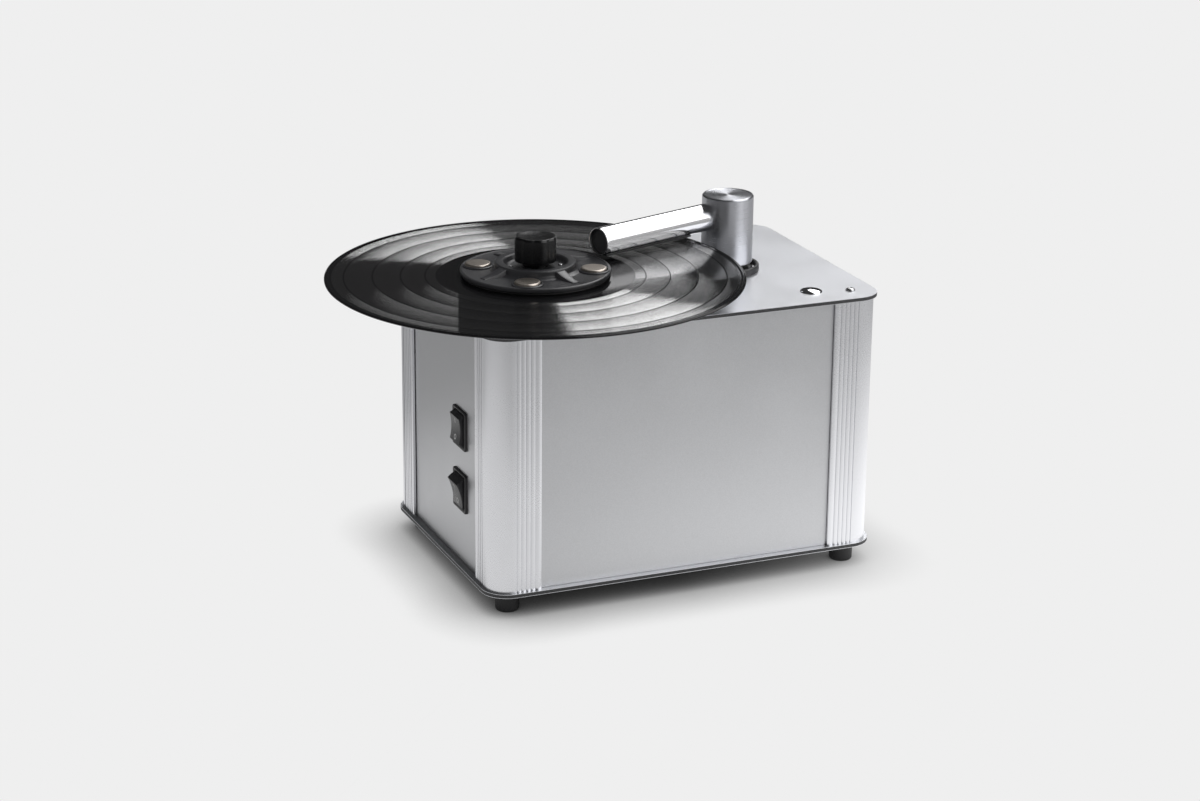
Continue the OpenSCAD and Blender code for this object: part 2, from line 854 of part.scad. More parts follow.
module clamp_disc() {
    edge = 0.7;
    color("#2b2b2d") placed() at_spindle() difference() {
        union() {
            translate([0, 0, disc_z]) cylinder(r1 = clamp_r - edge / 2, r2 = clamp_r, h = edge / 2);
            translate([0, 0, disc_z + edge / 2])
                cylinder(r = clamp_r, h = disc_top - disc_z - edge * 1.5);
            translate([0, 0, disc_top - edge]) cylinder(r1 = clamp_r, r2 = clamp_r - edge, h = edge);
            translate([0, 0, disc_top - eps]) cylinder(r = hub_r, h = hub_z - disc_top - edge);
            translate([0, 0, hub_z - edge - eps])
                cylinder(r1 = hub_r, r2 = hub_r - edge, h = edge + eps);
            translate([0, 0, disc_top - eps]) at_magnets() cylinder(r = magnet_r + 1.9, h = boss_h);
            translate([0, 0, disc_top]) for (i = [0:3]) rotate(magnet_phase + 45 + 90 * i) clamp_rib();
        }
        translate([0, 0, disc_top + 1.6]) cylinder(r = hub_inner_r, h = 10);
        at_magnets() translate([0, 0, disc_top - 1.2]) cylinder(r = magnet_r + fixed_gap, h = 10);
        translate([0, 0, disc_z - 1]) cylinder(r = spindle_r + run_fit, h = 20);
    }
}

module clamp_seal() {
    color("#0e0e0e") placed() at_spindle() difference() {
        translate([0, 0, record_z + seal_gap]) cylinder(r = clamp_r - 1.2, h = seal_t - seal_gap);
        translate([0, 0, record_z - 1]) cylinder(r = clamp_r - 9, h = seal_t + 2);
        translate([0, 0, record_z + seal_t / 2]) rotate_extrude()
            translate([clamp_r - 1, 0]) circle(r = 0.45);
    }
}

module clamp_magnets() {
    edge = 0.5;
    low = disc_top - 1.2;
    high = record_z + magnet_top;
    color("rosybrown") placed() at_spindle() at_magnets() {
        translate([0, 0, low]) cylinder(r = magnet_r, h = high - low - edge);
        translate([0, 0, high - edge - eps])
            cylinder(r1 = magnet_r, r2 = magnet_r - edge, h = edge + eps);
    }
}

module clamp_knob() {
    flutes = 8;
    flute_r = 13;
    depth = 1;
    edge = 0.5;
    dish = 0.8;
    dish_sphere = ((knob_r - 3) * (knob_r - 3) + dish * dish) / (2 * dish);
    color("#161616") placed() at_spindle() difference() {
        union() {
            translate([0, 0, knob_z]) cylinder(r = knob_r, h = knob_h - edge);
            translate([0, 0, knob_z + knob_h - edge])
                cylinder(r1 = knob_r, r2 = knob_r - edge, h = edge);
            translate([0, 0, disc_top + 1.6]) cylinder(r = knob_neck_r, h = knob_z - disc_top);
        }
        for (i = [0:flutes - 1]) rotate((i + 0.5) * 360 / flutes)
            translate([knob_r + flute_r - depth, 0, knob_z - 1]) cylinder(r = flute_r, h = knob_h + 2);
        translate([0, 0, knob_z + knob_h - dish + dish_sphere]) sphere(r = dish_sphere);
        translate([0, 0, disc_top]) cylinder(r = spindle_r + run_fit, h = pin_top + 1 - disc_top);
    }
}

// Vacuum motor, fan and grille

module vacuum_mount() {
    color("#222222") placed() at_vacuum() translate([0, 0, floor_z]) tube(vac_motor_r + 2, vac_motor_r - 8, mount_h);
}

module vacuum_motor() {
    color("dimgray") placed() at_vacuum() difference() {
        union() {
            translate([0, 0, vac_base]) cylinder(r = vac_motor_r, h = fan_z - vac_base);
            translate([0, 0, fan_z - motor_top_t]) cylinder(r = fan_case_r, h = motor_top_t);
        }
        translate([0, 0, fan_z - 36]) cylinder(r = fan_shaft_r + run_fit, h = 40);
    }
}

module fan_case() {
    ports = 8;
    color("darkgray") placed() at_vacuum() translate([0, 0, fan_z]) difference() {
        union() {
            cylinder(r = fan_case_r, h = fan_case_h);
            translate([0, 0, fan_case_h - eps]) cylinder(r = spigot_r, h = inlet_h + eps);
        }
        translate([0, 0, -1]) cylinder(r = fan_case_r - fan_wall, h = fan_case_h - fan_wall + 1);
        translate([0, 0, 1]) cylinder(r = spigot_r - fan_wall, h = fan_case_h + inlet_h);
        for (i = [0:ports - 1]) rotate((i + 0.5) * 360 / ports)
            translate([fan_case_r - 5, -8, 3]) cube([10, 16, 7]);
    }
}

module fan_rotor() {
    color("gainsboro") placed() at_vacuum() {
        translate([0, 0, fan_z - 35]) cylinder(r = fan_shaft_r, h = impeller_z - fan_z + 35 + 8);
        translate([0, 0, impeller_z]) cylinder(r = impeller_r, h = 1.5);
        translate([0, 0, impeller_z]) cylinder(r = 9, h = 10);
        for (i = [0:vane_count - 1]) rotate(i * 360 / vane_count)
            translate([8, -0.6, impeller_z + 1]) rotate([0, 0, 14])
                cube([impeller_r - 13, 1.2, impeller_h - 1]);
        translate([0, 0, impeller_z + impeller_h - eps]) tube(impeller_r, spigot_r + 4, 1.5);
    }
}

module exhaust_grille() {
    color("#202020") placed() difference() {
        union() {
            translate([vac_x - grille_w / 2, panel_fy, grille_z - grille_h / 2])
                cube([grille_w, 1.5, grille_h]);
            translate([vac_x - grille_w / 2 + 5.1, panel_fy - panel_t, grille_z - grille_h / 2 + 5.1])
                cube([grille_w - 10.2, panel_t + eps, grille_h - 10.2]);
        }
        for (i = [0:grille_slots - 1])
            translate([vac_x - grille_w / 2 + 8, panel_fy - panel_t - 1,
                grille_z + (i - (grille_slots - 1) / 2) * grille_pitch * 0.82 - 1.4])
                cube([grille_w - 16, panel_t + 4, 2.8]);
    }
}

// Waste tank

module waste_tank() {
    color("lightsteelblue") placed() difference() {
        translate([tank_x0, -tank_w / 2, floor_z])
            cube([tank_x1 - tank_x0, tank_w, tank_top - floor_z]);
        translate([tank_x0 + tank_wall, -tank_w / 2 + tank_wall, floor_z + tank_wall])
            cube([tank_x1 - tank_x0 - 2 * tank_wall, tank_w - 2 * tank_wall, tank_top]);
        translate([drain_x, tank_w / 2 + 1, drain_z]) rotate([90, 0, 0])
            cylinder(r = drain_r + fixed_gap, h = tank_wall + 2);
    }
    color("lightsteelblue") placed() difference() {
        lid_screw_places() translate([0, 0, tank_top - 16]) cylinder(r = boss_r, h = 16);
        lid_screw_places() translate([0, 0, tank_top - 12]) cylinder(r = 1.5 + run_fit, h = 13);
    }
}

module tank_outline(h) {
    translate([tank_x0, -tank_w / 2, 0]) cube([tank_x1 - tank_x0, tank_w, h]);
}

module tank_gasket() {
    color("#1a1a1a") placed() translate([0, 0, tank_top]) difference() {
        tank_outline(gasket_t);
        difference() {
            translate([tank_x0 + tank_wall, -tank_w / 2 + tank_wall, -1])
                cube([tank_x1 - tank_x0 - 2 * tank_wall, tank_w - 2 * tank_wall, gasket_t + 2]);
            lid_screw_places() translate([0, 0, -2]) cylinder(r = boss_r, h = gasket_t + 4);
        }
        lid_screw_places() translate([0, 0, -1]) cylinder(r = 1.5 + fixed_gap, h = gasket_t + 2);
    }
}

module tank_lid() {
    color("slategray") placed() difference() {
        union() {
            translate([0, 0, lid_z]) tank_outline(lid_t);
            at_post() translate([0, 0, lid_z + lid_t - eps]) cylinder(r = gland_r, h = gland_h + eps);
            translate([outlet_x, outlet_y, lid_z + lid_t - eps]) cylinder(r = spigot_r, h = outlet_h + eps);
        }
        at_post() translate([0, 0, lid_z - 1]) cylinder(r = riser_r + 0.6, h = lid_t + gland_h + 2);
        at_post() translate([0, 0, gland_top - 2 - o_ring_h]) cylinder(r = o_ring_r, h = o_ring_h);
        translate([outlet_x, outlet_y, lid_z - 1]) cylinder(r = spigot_r - 2, h = lid_t + outlet_h + 2);
        lid_screw_places() translate([0, 0, lid_z - 1]) cylinder(r = 1.5 + fixed_gap, h = lid_t + 2);
    }
}

// Puts a child at the six screws that hold the lid
module lid_screw_places() {
    for (x = [tank_x0 + lid_screw_in, (tank_x0 + tank_x1) / 2, tank_x1 - lid_screw_in], sy = [-1, 1])
        translate([x, sy * (tank_w / 2 - lid_screw_in), 0]) children();
}

module lid_screws() {
    color("lightgray") placed() lid_screw_places() translate([0, 0, lid_z + lid_t]) cheese_screw(1.5, lid_t + gasket_t + 10, 2.8, 1.8);
}

module riser_seal() {
    color("#111111") placed() at_post() translate([0, 0, gland_top - 2 - o_ring_h])
        tube(o_ring_r, riser_r + run_fit, o_ring_h);
}

// Duct from the lid to the fan: a round cuff on each spigot and a square level run between them
module pipe_path(cuff, level, below) {
    at_vacuum() rotate([0, 0, pipe_a]) {
        translate([0, 0, inlet_top - inlet_h + 4 - below])
            cylinder(r = cuff, h = pipe_z + cuff - inlet_top + inlet_h - 4 + below);
        translate([pipe_run, 0, outlet_top - outlet_h + 2 - below])
            cylinder(r = cuff, h = pipe_z + cuff - outlet_top + outlet_h - 2 + below);
        translate([0, -level, pipe_z - level]) cube([pipe_run, 2 * level, 2 * level]);
    }
}

module suction_pipe() {
    color("#2a2a2a") placed() difference() {
        pipe_path(pipe_r, pipe_r - 1.5, 0);
        pipe_path(spigot_r + run_fit, spigot_r - 1.5, 1);
    }
}

module drain_valve() {
    y0 = tank_w / 2 - tank_wall;
    color("darkgray") placed() translate([drain_x, 0, drain_z]) difference() {
        union() {
            translate([0, panel_fy, 0]) rotate([-90, 0, 0]) cylinder(r = valve_r, h = valve_len);
            translate([0, y0, 0]) rotate([-90, 0, 0]) cylinder(r = drain_r, h = panel_fy - y0 + eps);
            translate([0, panel_fy - panel_t - 6, 0]) rotate([-90, 0, 0])
                cylinder(r = drain_r + 2, h = 6 + panel_t + eps);
            translate([0, panel_fy + valve_len - eps, 0]) rotate([-90, 0, 0])
                cylinder(r = drain_r, h = drain_spigot_len + eps);
            translate([0, panel_fy + valve_len / 2, 0]) cylinder(r = lever_hub_r, h = valve_r + 1.5);
        }
        translate([0, y0 - 1, 0]) rotate([-90, 0, 0])
            cylinder(r = drain_bore_r, h = panel_fy - y0 + valve_len + drain_spigot_len + 2);
        translate([0, panel_fy + valve_len / 2, 0]) cylinder(r = stem_r + run_fit, h = valve_r + 3);
    }
}

module drain_lever() {
    z0 = drain_z + valve_r + 1.5 + move_gap;
    color("crimson") placed() translate([drain_x, panel_fy + valve_len / 2, 0]) {
        translate([0, 0, z0]) cylinder(r = lever_hub_r, h = lever_t);
        translate([0, 0, drain_z + drain_bore_r + 1]) cylinder(r = stem_r, h = z0 - drain_z - drain_bore_r);
        translate([0, -lever_w / 2, z0]) cube([lever_len, lever_w, lever_t]);
        translate([lever_len, 0, z0]) cylinder(r = lever_w / 2, h = lever_t);
    }
}

// Mains inlet and electronics

module mains_inlet() {
    color("#1a1a1a") placed() translate([inlet_x, panel_fy, inlet_z]) {
        difference() {
            union() {
                translate([-inlet_w / 2, 0, -inlet_face_h / 2]) cube([inlet_w, 2, inlet_face_h]);
                translate([-inlet_w / 2 + 2.1, 2 - inlet_depth, -inlet_face_h / 2 + 2.1])
                    cube([inlet_w - 4.2, inlet_depth, inlet_face_h - 4.2]);
            }
            translate([-inlet_cavity_w / 2, 2 - inlet_cavity_d, -inlet_cavity_h / 2])
                cube([inlet_cavity_w, inlet_cavity_d + 1, inlet_cavity_h]);
        }
        for (p = [[-7, -2], [7, -2], [0, 2]])
            translate([p[0] - prong_w / 2, 2 - inlet_cavity_d - eps, p[1] - prong_h / 2])
                cube([prong_w, prong_len, prong_h]);
    }
}

module power_supply() {
    color("goldenrod") placed() translate([supply_x, supply_y, 0]) {
        translate([-supply_l / 2, -supply_w / 2, floor_z + 4]) cube([supply_l, supply_w, supply_h]);
        for (sx = [-1, 1], sy = [-1, 1])
            translate([sx * (supply_l / 2 - 6), sy * (supply_w / 2 - 6), floor_z]) cylinder(r = 3.5, h = 4 + eps);
    }
}

module control_board() {
    color("darkgreen") placed() translate([board_x, board_y - board_w / 2, board_z - board_h / 2]) {
        cube([board_t, board_w, board_h]);
        translate([board_t - eps, 8, 12]) cube([16, 18, 22]);
        translate([board_t - eps, 34, 12]) cube([14, 20, 26]);
        translate([board_t - eps, 10, 50]) cube([8, 14, 34]);
        for (y = [34, 48]) translate([board_t - eps, y, 72]) rotate([0, 90, 0]) cylinder(r = 5, h = 12);
    }
}

module board_standoffs() {
    color("gold") placed() for (sy = [-1, 1], sz = [-1, 1])
        translate([-panel_fx + panel_t, board_y + sy * (board_w / 2 - 5), board_z + sz * (board_h / 2 - 5)])
            rotate([0, 90, 0]) cylinder(r = 3, h = board_x + panel_fx - panel_t);
}

// Rocker switches. In these modules -X is out of the panel.

module switch_bezel(z) {
    edge = 0.5;
    color("#181818") placed() translate([-panel_fx, switch_y, z]) difference() {
        union() {
            translate([-bezel_t + edge, 0, 0]) rotate([0, 90, 0]) linear_extrude(height = bezel_t - edge)
                round_rect(bezel_h, bezel_w, 1.6);
            translate([-bezel_t, 0, 0]) rotate([0, 90, 0]) linear_extrude(height = edge + eps)
                round_rect(bezel_h - 2 * edge, bezel_w - 2 * edge, 1.2);
            translate([-eps, -bezel_w / 2 + 2.1, -switch_body_h / 2])
                cube([switch_depth, bezel_w - 4.2, switch_body_h]);
        }
        translate([-bezel_t - 1, -window_w, -window_h])
            cube([bezel_t + 1 + cavity_depth, 2 * window_w, 2 * window_h]);
        translate([-bezel_t + lip_t, -window_w, -cavity_h])
            cube([bezel_t - lip_t + cavity_depth, 2 * window_w, 2 * cavity_h]);
        translate([-rocker_pivot_u, bezel_w, 0]) rotate([90, 0, 0])
            cylinder(r = pin_r + run_fit, h = 2 * bezel_w);
    }
}

// Rocker in its middle place, its pivot on the origin. Its ends are round about the pivot.
module rocker_body() {
    dish_x = -rocker_edge - sqrt(dish_r * dish_r - rocker_half * rocker_half);
    end_a = asin(rocker_edge / rocker_r);
    steps = 4;
    difference() {
        rotate([90, 0, 0]) linear_extrude(height = 2 * rocker_w, center = true) polygon(concat(
            [for (i = [0:steps]) let (a = end_a * (1 - i / steps))
                [-rocker_r * sin(a), rocker_r * cos(a)]],
            [[2.5, rocker_keel], [2.5, -rocker_keel]],
            [for (i = [0:steps]) let (a = end_a * i / steps)
                [-rocker_r * sin(a), -rocker_r * cos(a)]]));
        translate([dish_x, 0, 0]) rotate([90, 0, 0])
            cylinder(r = dish_r, h = 2 * rocker_w + 2, center = true, $fn = 180);
    }
    rotate([90, 0, 0]) cylinder(r = pin_r, h = bezel_w - 4.6, center = true);
}

module rocker(z, tilt) {
    color("#1f1f1f") placed() translate([-panel_fx - rocker_pivot_u, switch_y, z]) rotate([0, -tilt, 0]) rocker_body();
}

module motor_switch_bezel() {
    switch_bezel(motor_switch_z);
}

module motor_rocker() {
    rocker(motor_switch_z, 0);
}

module vacuum_switch_bezel() {
    switch_bezel(vacuum_switch_z);
}

module vacuum_rocker() {
    rocker(vacuum_switch_z, rocker_tilt);
}

// Arm

module suction_riser() {
    color("lightgray") placed() at_post() difference() {
        union() {
            translate([0, 0, riser_low]) cylinder(r = riser_r, h = riser_top - riser_low);
            translate([0, 0, seat_z]) cylinder(r = seat_r, h = seat_t);
        }
        translate([0, 0, riser_low - 1]) cylinder(r = riser_in_r, h = riser_top - riser_low + 2);
    }
}

module arm_post() {
    edge = 0.6;
    color("lightgray") placed() difference() {
        at_post() {
            translate([0, 0, post_z]) cylinder(r = post_r, h = post_top_z - edge - post_z);
            translate([0, 0, post_top_z - edge - eps])
                cylinder(r1 = post_r, r2 = post_r - edge, h = edge + eps);
        }
        at_post() translate([0, 0, post_z - 1])
            cylinder(r = riser_r + run_fit, h = riser_top + move_gap - post_z + 1);
        at_post() translate([0, 0, post_z])
            cylinder(r = riser_in_r, h = arm_z + arm_bore_r + 1.2 - post_z);
        along_arm() rotate([0, 90, 0]) cylinder(r = arm_bore_r, h = post_r + 5);
        along_arm() translate([arm_root, 0, 0]) rotate([0, 90, 0])
            cylinder(r = arm_r + fixed_gap / 2, h = post_r + 5);
    }
}

module arm_tube() {
    color("gainsboro") placed() along_arm() difference() {
        translate([arm_root, 0, 0]) rotate([0, 90, 0]) cylinder(r = arm_r, h = arm_len - arm_root);
        translate([arm_root - 1, 0, 0]) rotate([0, 90, 0])
            cylinder(r = arm_bore_r, h = arm_len - arm_root + 2);
        translate([suction_start, -slot_w / 2, -arm_r - 1])
            cube([suction_end - suction_start, slot_w, arm_wall + 2]);
    }
}

module arm_end_plug() {
    color("#101010") placed() along_arm() translate([arm_len - plug_recess - plug_t, 0, 0])
        rotate([0, 90, 0]) cylinder(r = arm_bore_r, h = plug_t);
}

module velvet_strips() {
    color("#23232b") placed() along_arm() for (s = [-1, 1]) difference() {
        translate([suction_start - 1, s > 0 ? velvet_inner : -velvet_inner - velvet_w, -arm_r - velvet_t])
            cube([suction_end - suction_start + 2, velvet_w, velvet_t + 1]);
        rotate([0, 90, 0]) cylinder(r = arm_r, h = arm_len);
    }
}

top_plate_core();
top_plate_skins();
bottom_plate_core();
bottom_plate_skins();
profile_front_left();
profile_front_right();
profile_rear_left();
profile_rear_right();
front_panel();
rear_panel();
left_panel();
right_panel();
top_screws();
foot_screws();
feet();
dome_plug();
arm_collar();
collar_screws();
riser_guide();
lift_spring();
bearing_housing();
housing_screws();
shaft_bearings();
gearbox();
drive_motor();
drive_screws();
vacuum_mount();
vacuum_motor();
fan_case();
exhaust_grille();
waste_tank();
tank_gasket();
tank_lid();
lid_screws();
riser_seal();
suction_pipe();
drain_valve();
drain_lever();
mains_inlet();
power_supply();
control_board();
board_standoffs();
motor_switch_bezel();
motor_rocker();
vacuum_switch_bezel();
vacuum_rocker();
suction_riser();
arm_post();
arm_tube();
arm_end_plug();
velvet_strips();
fan_rotor();
turntable_shaft();
platter();
platter_mat();
record();
clamp_disc();
clamp_seal();
clamp_magnets();
clamp_knob();
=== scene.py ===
import json
import math

import bmesh
import bpy
from mathutils import Matrix, Vector, noise


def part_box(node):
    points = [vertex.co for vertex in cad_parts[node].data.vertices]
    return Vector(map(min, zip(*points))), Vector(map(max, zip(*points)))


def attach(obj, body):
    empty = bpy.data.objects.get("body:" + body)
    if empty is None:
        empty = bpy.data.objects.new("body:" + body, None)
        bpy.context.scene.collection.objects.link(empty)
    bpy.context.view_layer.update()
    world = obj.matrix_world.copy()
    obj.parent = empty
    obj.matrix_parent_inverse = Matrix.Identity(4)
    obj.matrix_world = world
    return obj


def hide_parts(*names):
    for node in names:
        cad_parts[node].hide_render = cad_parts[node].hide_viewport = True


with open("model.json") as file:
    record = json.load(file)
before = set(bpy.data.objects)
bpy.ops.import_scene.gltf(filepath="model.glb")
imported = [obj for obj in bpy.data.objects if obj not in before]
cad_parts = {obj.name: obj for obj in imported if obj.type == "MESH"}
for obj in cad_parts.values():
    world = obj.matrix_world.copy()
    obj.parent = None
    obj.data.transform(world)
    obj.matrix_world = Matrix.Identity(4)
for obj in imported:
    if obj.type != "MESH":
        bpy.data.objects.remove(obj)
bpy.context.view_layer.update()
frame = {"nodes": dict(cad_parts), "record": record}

MM = 0.001
TAU = 2 * math.pi


# Places read from the frame, in metres

def middle(node):
    low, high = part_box(node)
    return Vector([(a + b) / 2 for a, b in zip(low, high)])


def low_of(node):
    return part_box(node)[0]


def high_of(node):
    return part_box(node)[1]


BODY = middle("bottom_plate_core")
SPINDLE = middle("platter")
POST = middle("arm_post")
DECK = high_of("top_plate_skins")[2]
RECORD_TOP = high_of("record")[2]
RECORD_LOW = low_of("record")[2]
LEFT_FACE = low_of("left_panel")[0]
RIGHT_FACE = high_of("right_panel")[0]


def at(point, z):
    return Matrix.Translation((point.x, point.y, z))


def node_body(node):
    for body, names in frame["record"]["behaviour"]["bodies"].items():
        if node in names:
            return body
    return "frame"


def add(name, data):
    """Makes an object and puts it into the scene."""
    obj = bpy.data.objects.new(name, data)
    bpy.context.scene.collection.objects.link(obj)
    return obj


# Sizes that several pieces share, in millimetres, with the values of the CAD

RECORD_R = 150.8
CLAMP_R = 54.1
POST_R = 19.4
TUBE_R = 10.3


# Camera, fitted to the photograph: angles in degrees, distances in metres

VIEW_AZIMUTH = -22.902
VIEW_ELEVATION = 18.820
VIEW_DISTANCE = 2.18293
VIEW_ROLL = 0.548
VIEW_LENS = 86.62
VIEW_TARGET = Vector((BODY.x - 0.02688, BODY.y, 0.11843))


def make_camera():
    azimuth, elevation, roll = (math.radians(v) for v in (VIEW_AZIMUTH, VIEW_ELEVATION, VIEW_ROLL))
    away = Vector((math.sin(azimuth) * math.cos(elevation), -math.cos(azimuth) * math.cos(elevation),
                   math.sin(elevation)))
    level = (-away).cross(Vector((0, 0, 1))).normalized()
    upward = level.cross(-away)
    right = level * math.cos(roll) + upward * math.sin(roll)
    up = upward * math.cos(roll) - level * math.sin(roll)
    data = bpy.data.cameras.new("camera")
    data.sensor_width = 36
    data.sensor_fit = "HORIZONTAL"
    data.lens = VIEW_LENS
    data.clip_start = 0.05
    data.clip_end = 60
    camera = add("camera", data)
    place = VIEW_TARGET + away * VIEW_DISTANCE
    turn = Matrix((right, up, away)).transposed().to_4x4()
    camera.matrix_world = Matrix.Translation(place) @ turn
    bpy.context.scene.camera = camera


# Node helpers

class Tree:
    """Short calls for the nodes of a material or of the world."""

    def __init__(self, owner):
        owner.use_nodes = True
        self.nodes = owner.node_tree.nodes
        self.links = owner.node_tree.links

    def node(self, kind, **props):
        n = self.nodes.new(kind)
        for key, value in props.items():
            setattr(n, key, value)
        return n

    def feed(self, socket, value):
        """Sets a socket to a number or colour, or links another socket to it."""
        if isinstance(value, tuple):
            socket.default_value = (*value, 1.0)
        elif isinstance(value, (int, float)):
            socket.default_value = value
        else:
            self.links.new(value, socket)

    def math(self, op, a, b=None):
        n = self.node("ShaderNodeMath", operation=op)
        self.feed(n.inputs[0], a)
        if b is not None:
            self.feed(n.inputs[1], b)
        return n.outputs[0]

    def blend(self, a, b, share):
        """The sum of a and b, with a share of a and the rest of b."""
        return self.math("ADD", self.math("MULTIPLY", a, share), self.math("MULTIPLY", b, 1 - share))

    def span(self, value, low, high, to_low, to_high, smooth=False):
        n = self.node("ShaderNodeMapRange")
        if smooth:
            n.interpolation_type = "SMOOTHSTEP"
        for key, v in (("From Min", low), ("From Max", high), ("To Min", to_low), ("To Max", to_high)):
            n.inputs[key].default_value = v
        self.links.new(value, n.inputs["Value"])
        return n.outputs["Result"]

    def split(self, vector):
        n = self.node("ShaderNodeSeparateXYZ")
        self.links.new(vector, n.inputs[0])
        return n.outputs

    def seen_by(self, *kinds):
        """1 for a ray of one of the kinds, such as Camera or Glossy, and 0 for others."""
        paths = self.node("ShaderNodeLightPath")
        rays = [paths.outputs["Is %s Ray" % kind] for kind in kinds]
        while len(rays) > 1:
            last = rays.pop()
            rays[-1] = self.math("MAXIMUM", rays[-1], last)
        return rays[0]


# What blended noise mostly keeps between
NOISE_RANGE = (0.35, 0.65)
LEAST_ROUGH = 0.02


class Mat(Tree):
    """A material with a Principled shader."""

    def __init__(self, name, color, metal, rough, **sockets):
        self.mat = bpy.data.materials.new(name)
        super().__init__(self.mat)
        self.bsdf = self.nodes["Principled BSDF"]
        self.set("Base Color", (*color, 1.0))
        self.set("Metallic", metal)
        self.set("Roughness", rough)
        for key, value in sockets.items():
            self.set(key.replace("_", " "), value)
        self.color = color
        self.rough = rough

    def set(self, socket, value):
        self.bsdf.inputs[socket].default_value = value

    def coords(self, scale=(1, 1, 1), turn=(0, 0, 0), offset=(0, 0, 0)):
        """Object coordinates in metres, moved, then turned, then scaled."""
        out = self.node("ShaderNodeTexCoord").outputs["Object"]
        if offset != (0, 0, 0) or turn != (0, 0, 0):
            move = self.node("ShaderNodeMapping", vector_type="TEXTURE")
            move.inputs["Location"].default_value = offset
            move.inputs["Rotation"].default_value = turn
            self.links.new(out, move.inputs["Vector"])
            out = move.outputs["Vector"]
        size = self.node("ShaderNodeMapping")
        size.inputs["Scale"].default_value = scale
        self.links.new(out, size.inputs["Vector"])
        return size.outputs["Vector"]

    def noise(self, vector, scale, detail, rough=0.55, distort=0.0):
        n = self.node("ShaderNodeTexNoise")
        n.inputs["Scale"].default_value = scale
        n.inputs["Detail"].default_value = detail
        n.inputs["Roughness"].default_value = rough
        n.inputs["Distortion"].default_value = distort
        self.links.new(vector, n.inputs["Vector"])
        return n.outputs["Fac"]

    def radius(self, center):
        """Distance from an upright axis through center."""
        x, y, _ = self.split(self.coords(offset=(center.x, center.y, 0)))
        squares = self.math("ADD", self.math("MULTIPLY", x, x), self.math("MULTIPLY", y, y))
        return self.math("SQRT", squares)

    def along(self, value):
        """A vector that changes with one value only."""
        n = self.node("ShaderNodeCombineXYZ")
        self.links.new(value, n.inputs[0])
        return n.outputs[0]

    def vary_color(self, factor, spread):
        """Makes the colour darker and lighter by a share of it."""
        n = self.node("ShaderNodeMix", data_type="RGBA")
        self.links.new(self.span(factor, *NOISE_RANGE, 0, 1), n.inputs["Factor"])
        self.feed(n.inputs[6], tuple(c * (1 - spread) for c in self.color))
        self.feed(n.inputs[7], tuple(min(1.0, c * (1 + spread)) for c in self.color))
        self.links.new(n.outputs[2], self.bsdf.inputs["Base Color"])

    def vary_rough(self, factor, spread):
        rough = self.span(factor, *NOISE_RANGE, max(LEAST_ROUGH, self.rough - spread), self.rough + spread)
        self.links.new(rough, self.bsdf.inputs["Roughness"])

    def bump(self, height, strength, distance):
        n = self.node("ShaderNodeBump")
        n.inputs["Strength"].default_value = strength
        n.inputs["Distance"].default_value = distance
        self.links.new(height, n.inputs["Height"])
        self.links.new(n.outputs["Normal"], self.bsdf.inputs["Normal"])


# Materials: grain and lines are noise scales per metre, bump distances are in metres

SLOW_GRAIN = 14.0
SCUFF_GRAIN = 260
SCUFF_STRETCH = (1, 0.05, 0.3)
SCUFF_TURN = (0.4, 0.2, 0.7)
SCUFF_RANGE = (0.68, 0.74)
TURNING_LINES = 2600
GRAIN_DEPTH = 0.00005
LINE_DEPTH = 0.00004


def grainy(name, color, metal, rough, grain=1800, spread=0.03, height=0.15, stretch=(1, 1, 1),
           scuffs=0.0, **sockets):
    """Sheet, cast or moulded stuff with a fine even grain, slow changes of gloss and light scuffs."""
    m = Mat(name, color, metal, rough, **sockets)
    fine = m.noise(m.coords(stretch), grain, 2.0)
    slow = m.noise(m.coords(), SLOW_GRAIN, 3.0)
    m.vary_color(m.blend(fine, slow, 0.7), spread)
    gloss = m.blend(fine, slow, 0.5)
    if scuffs:
        marks = m.noise(m.coords(SCUFF_STRETCH, turn=SCUFF_TURN), SCUFF_GRAIN, 1.0, 0.4, 0.4)
        gloss = m.math("ADD", gloss, m.span(marks, *SCUFF_RANGE, 0.0, scuffs))
    m.vary_rough(gloss, min(0.06, rough * 0.2))
    m.bump(fine, height, GRAIN_DEPTH)
    return m


def lathed(name, color, metal, rough, center, **sockets):
    """Metal with fine turning lines about the middle of its piece, and its sheen drawn out round it."""
    m = Mat(name, color, metal, rough, Anisotropic_Rotation=0.25, **sockets)
    rings = m.noise(m.along(m.radius(center)), TURNING_LINES, 2.0, 0.6)
    hoops = m.noise(m.coords((0.02, 0.02, 1)), TURNING_LINES, 2.0, 0.6)
    lines = m.blend(rings, hoops, 0.5)
    m.vary_color(lines, 0.03)
    m.vary_rough(lines, min(0.05, rough * 0.2))
    m.bump(lines, 0.10, LINE_DEPTH)
    tangent = m.node("ShaderNodeTangent", direction_type="RADIAL", axis="Z")
    m.links.new(tangent.outputs["Tangent"], m.bsdf.inputs["Tangent"])
    return m


VINYL = (0.005, 0.005, 0.0055)
GROOVE_PITCH = 0.00023
FINE_TURNS = 700
BROAD_TURNS = 120


def vinyl(name, rough, tilt, **sockets):
    """Pressed vinyl that changes a little from turn to turn. With a tilt it has a groove's leaning walls."""
    m = Mat(name, VINYL, 0.0, rough, **sockets)
    radius = m.radius(SPINDLE)
    line = m.along(radius)
    fine = m.noise(line, FINE_TURNS, 1.0, 0.5)
    broad = m.noise(line, BROAD_TURNS, 2.0, 0.5)
    turns = m.blend(fine, broad, 0.4)
    m.vary_color(turns, 0.3)
    m.vary_rough(turns, 0.01)
    if tilt:
        groove_walls(m, radius, tilt)
    else:
        m.bump(fine, 0.02, 0.00002)
    return m


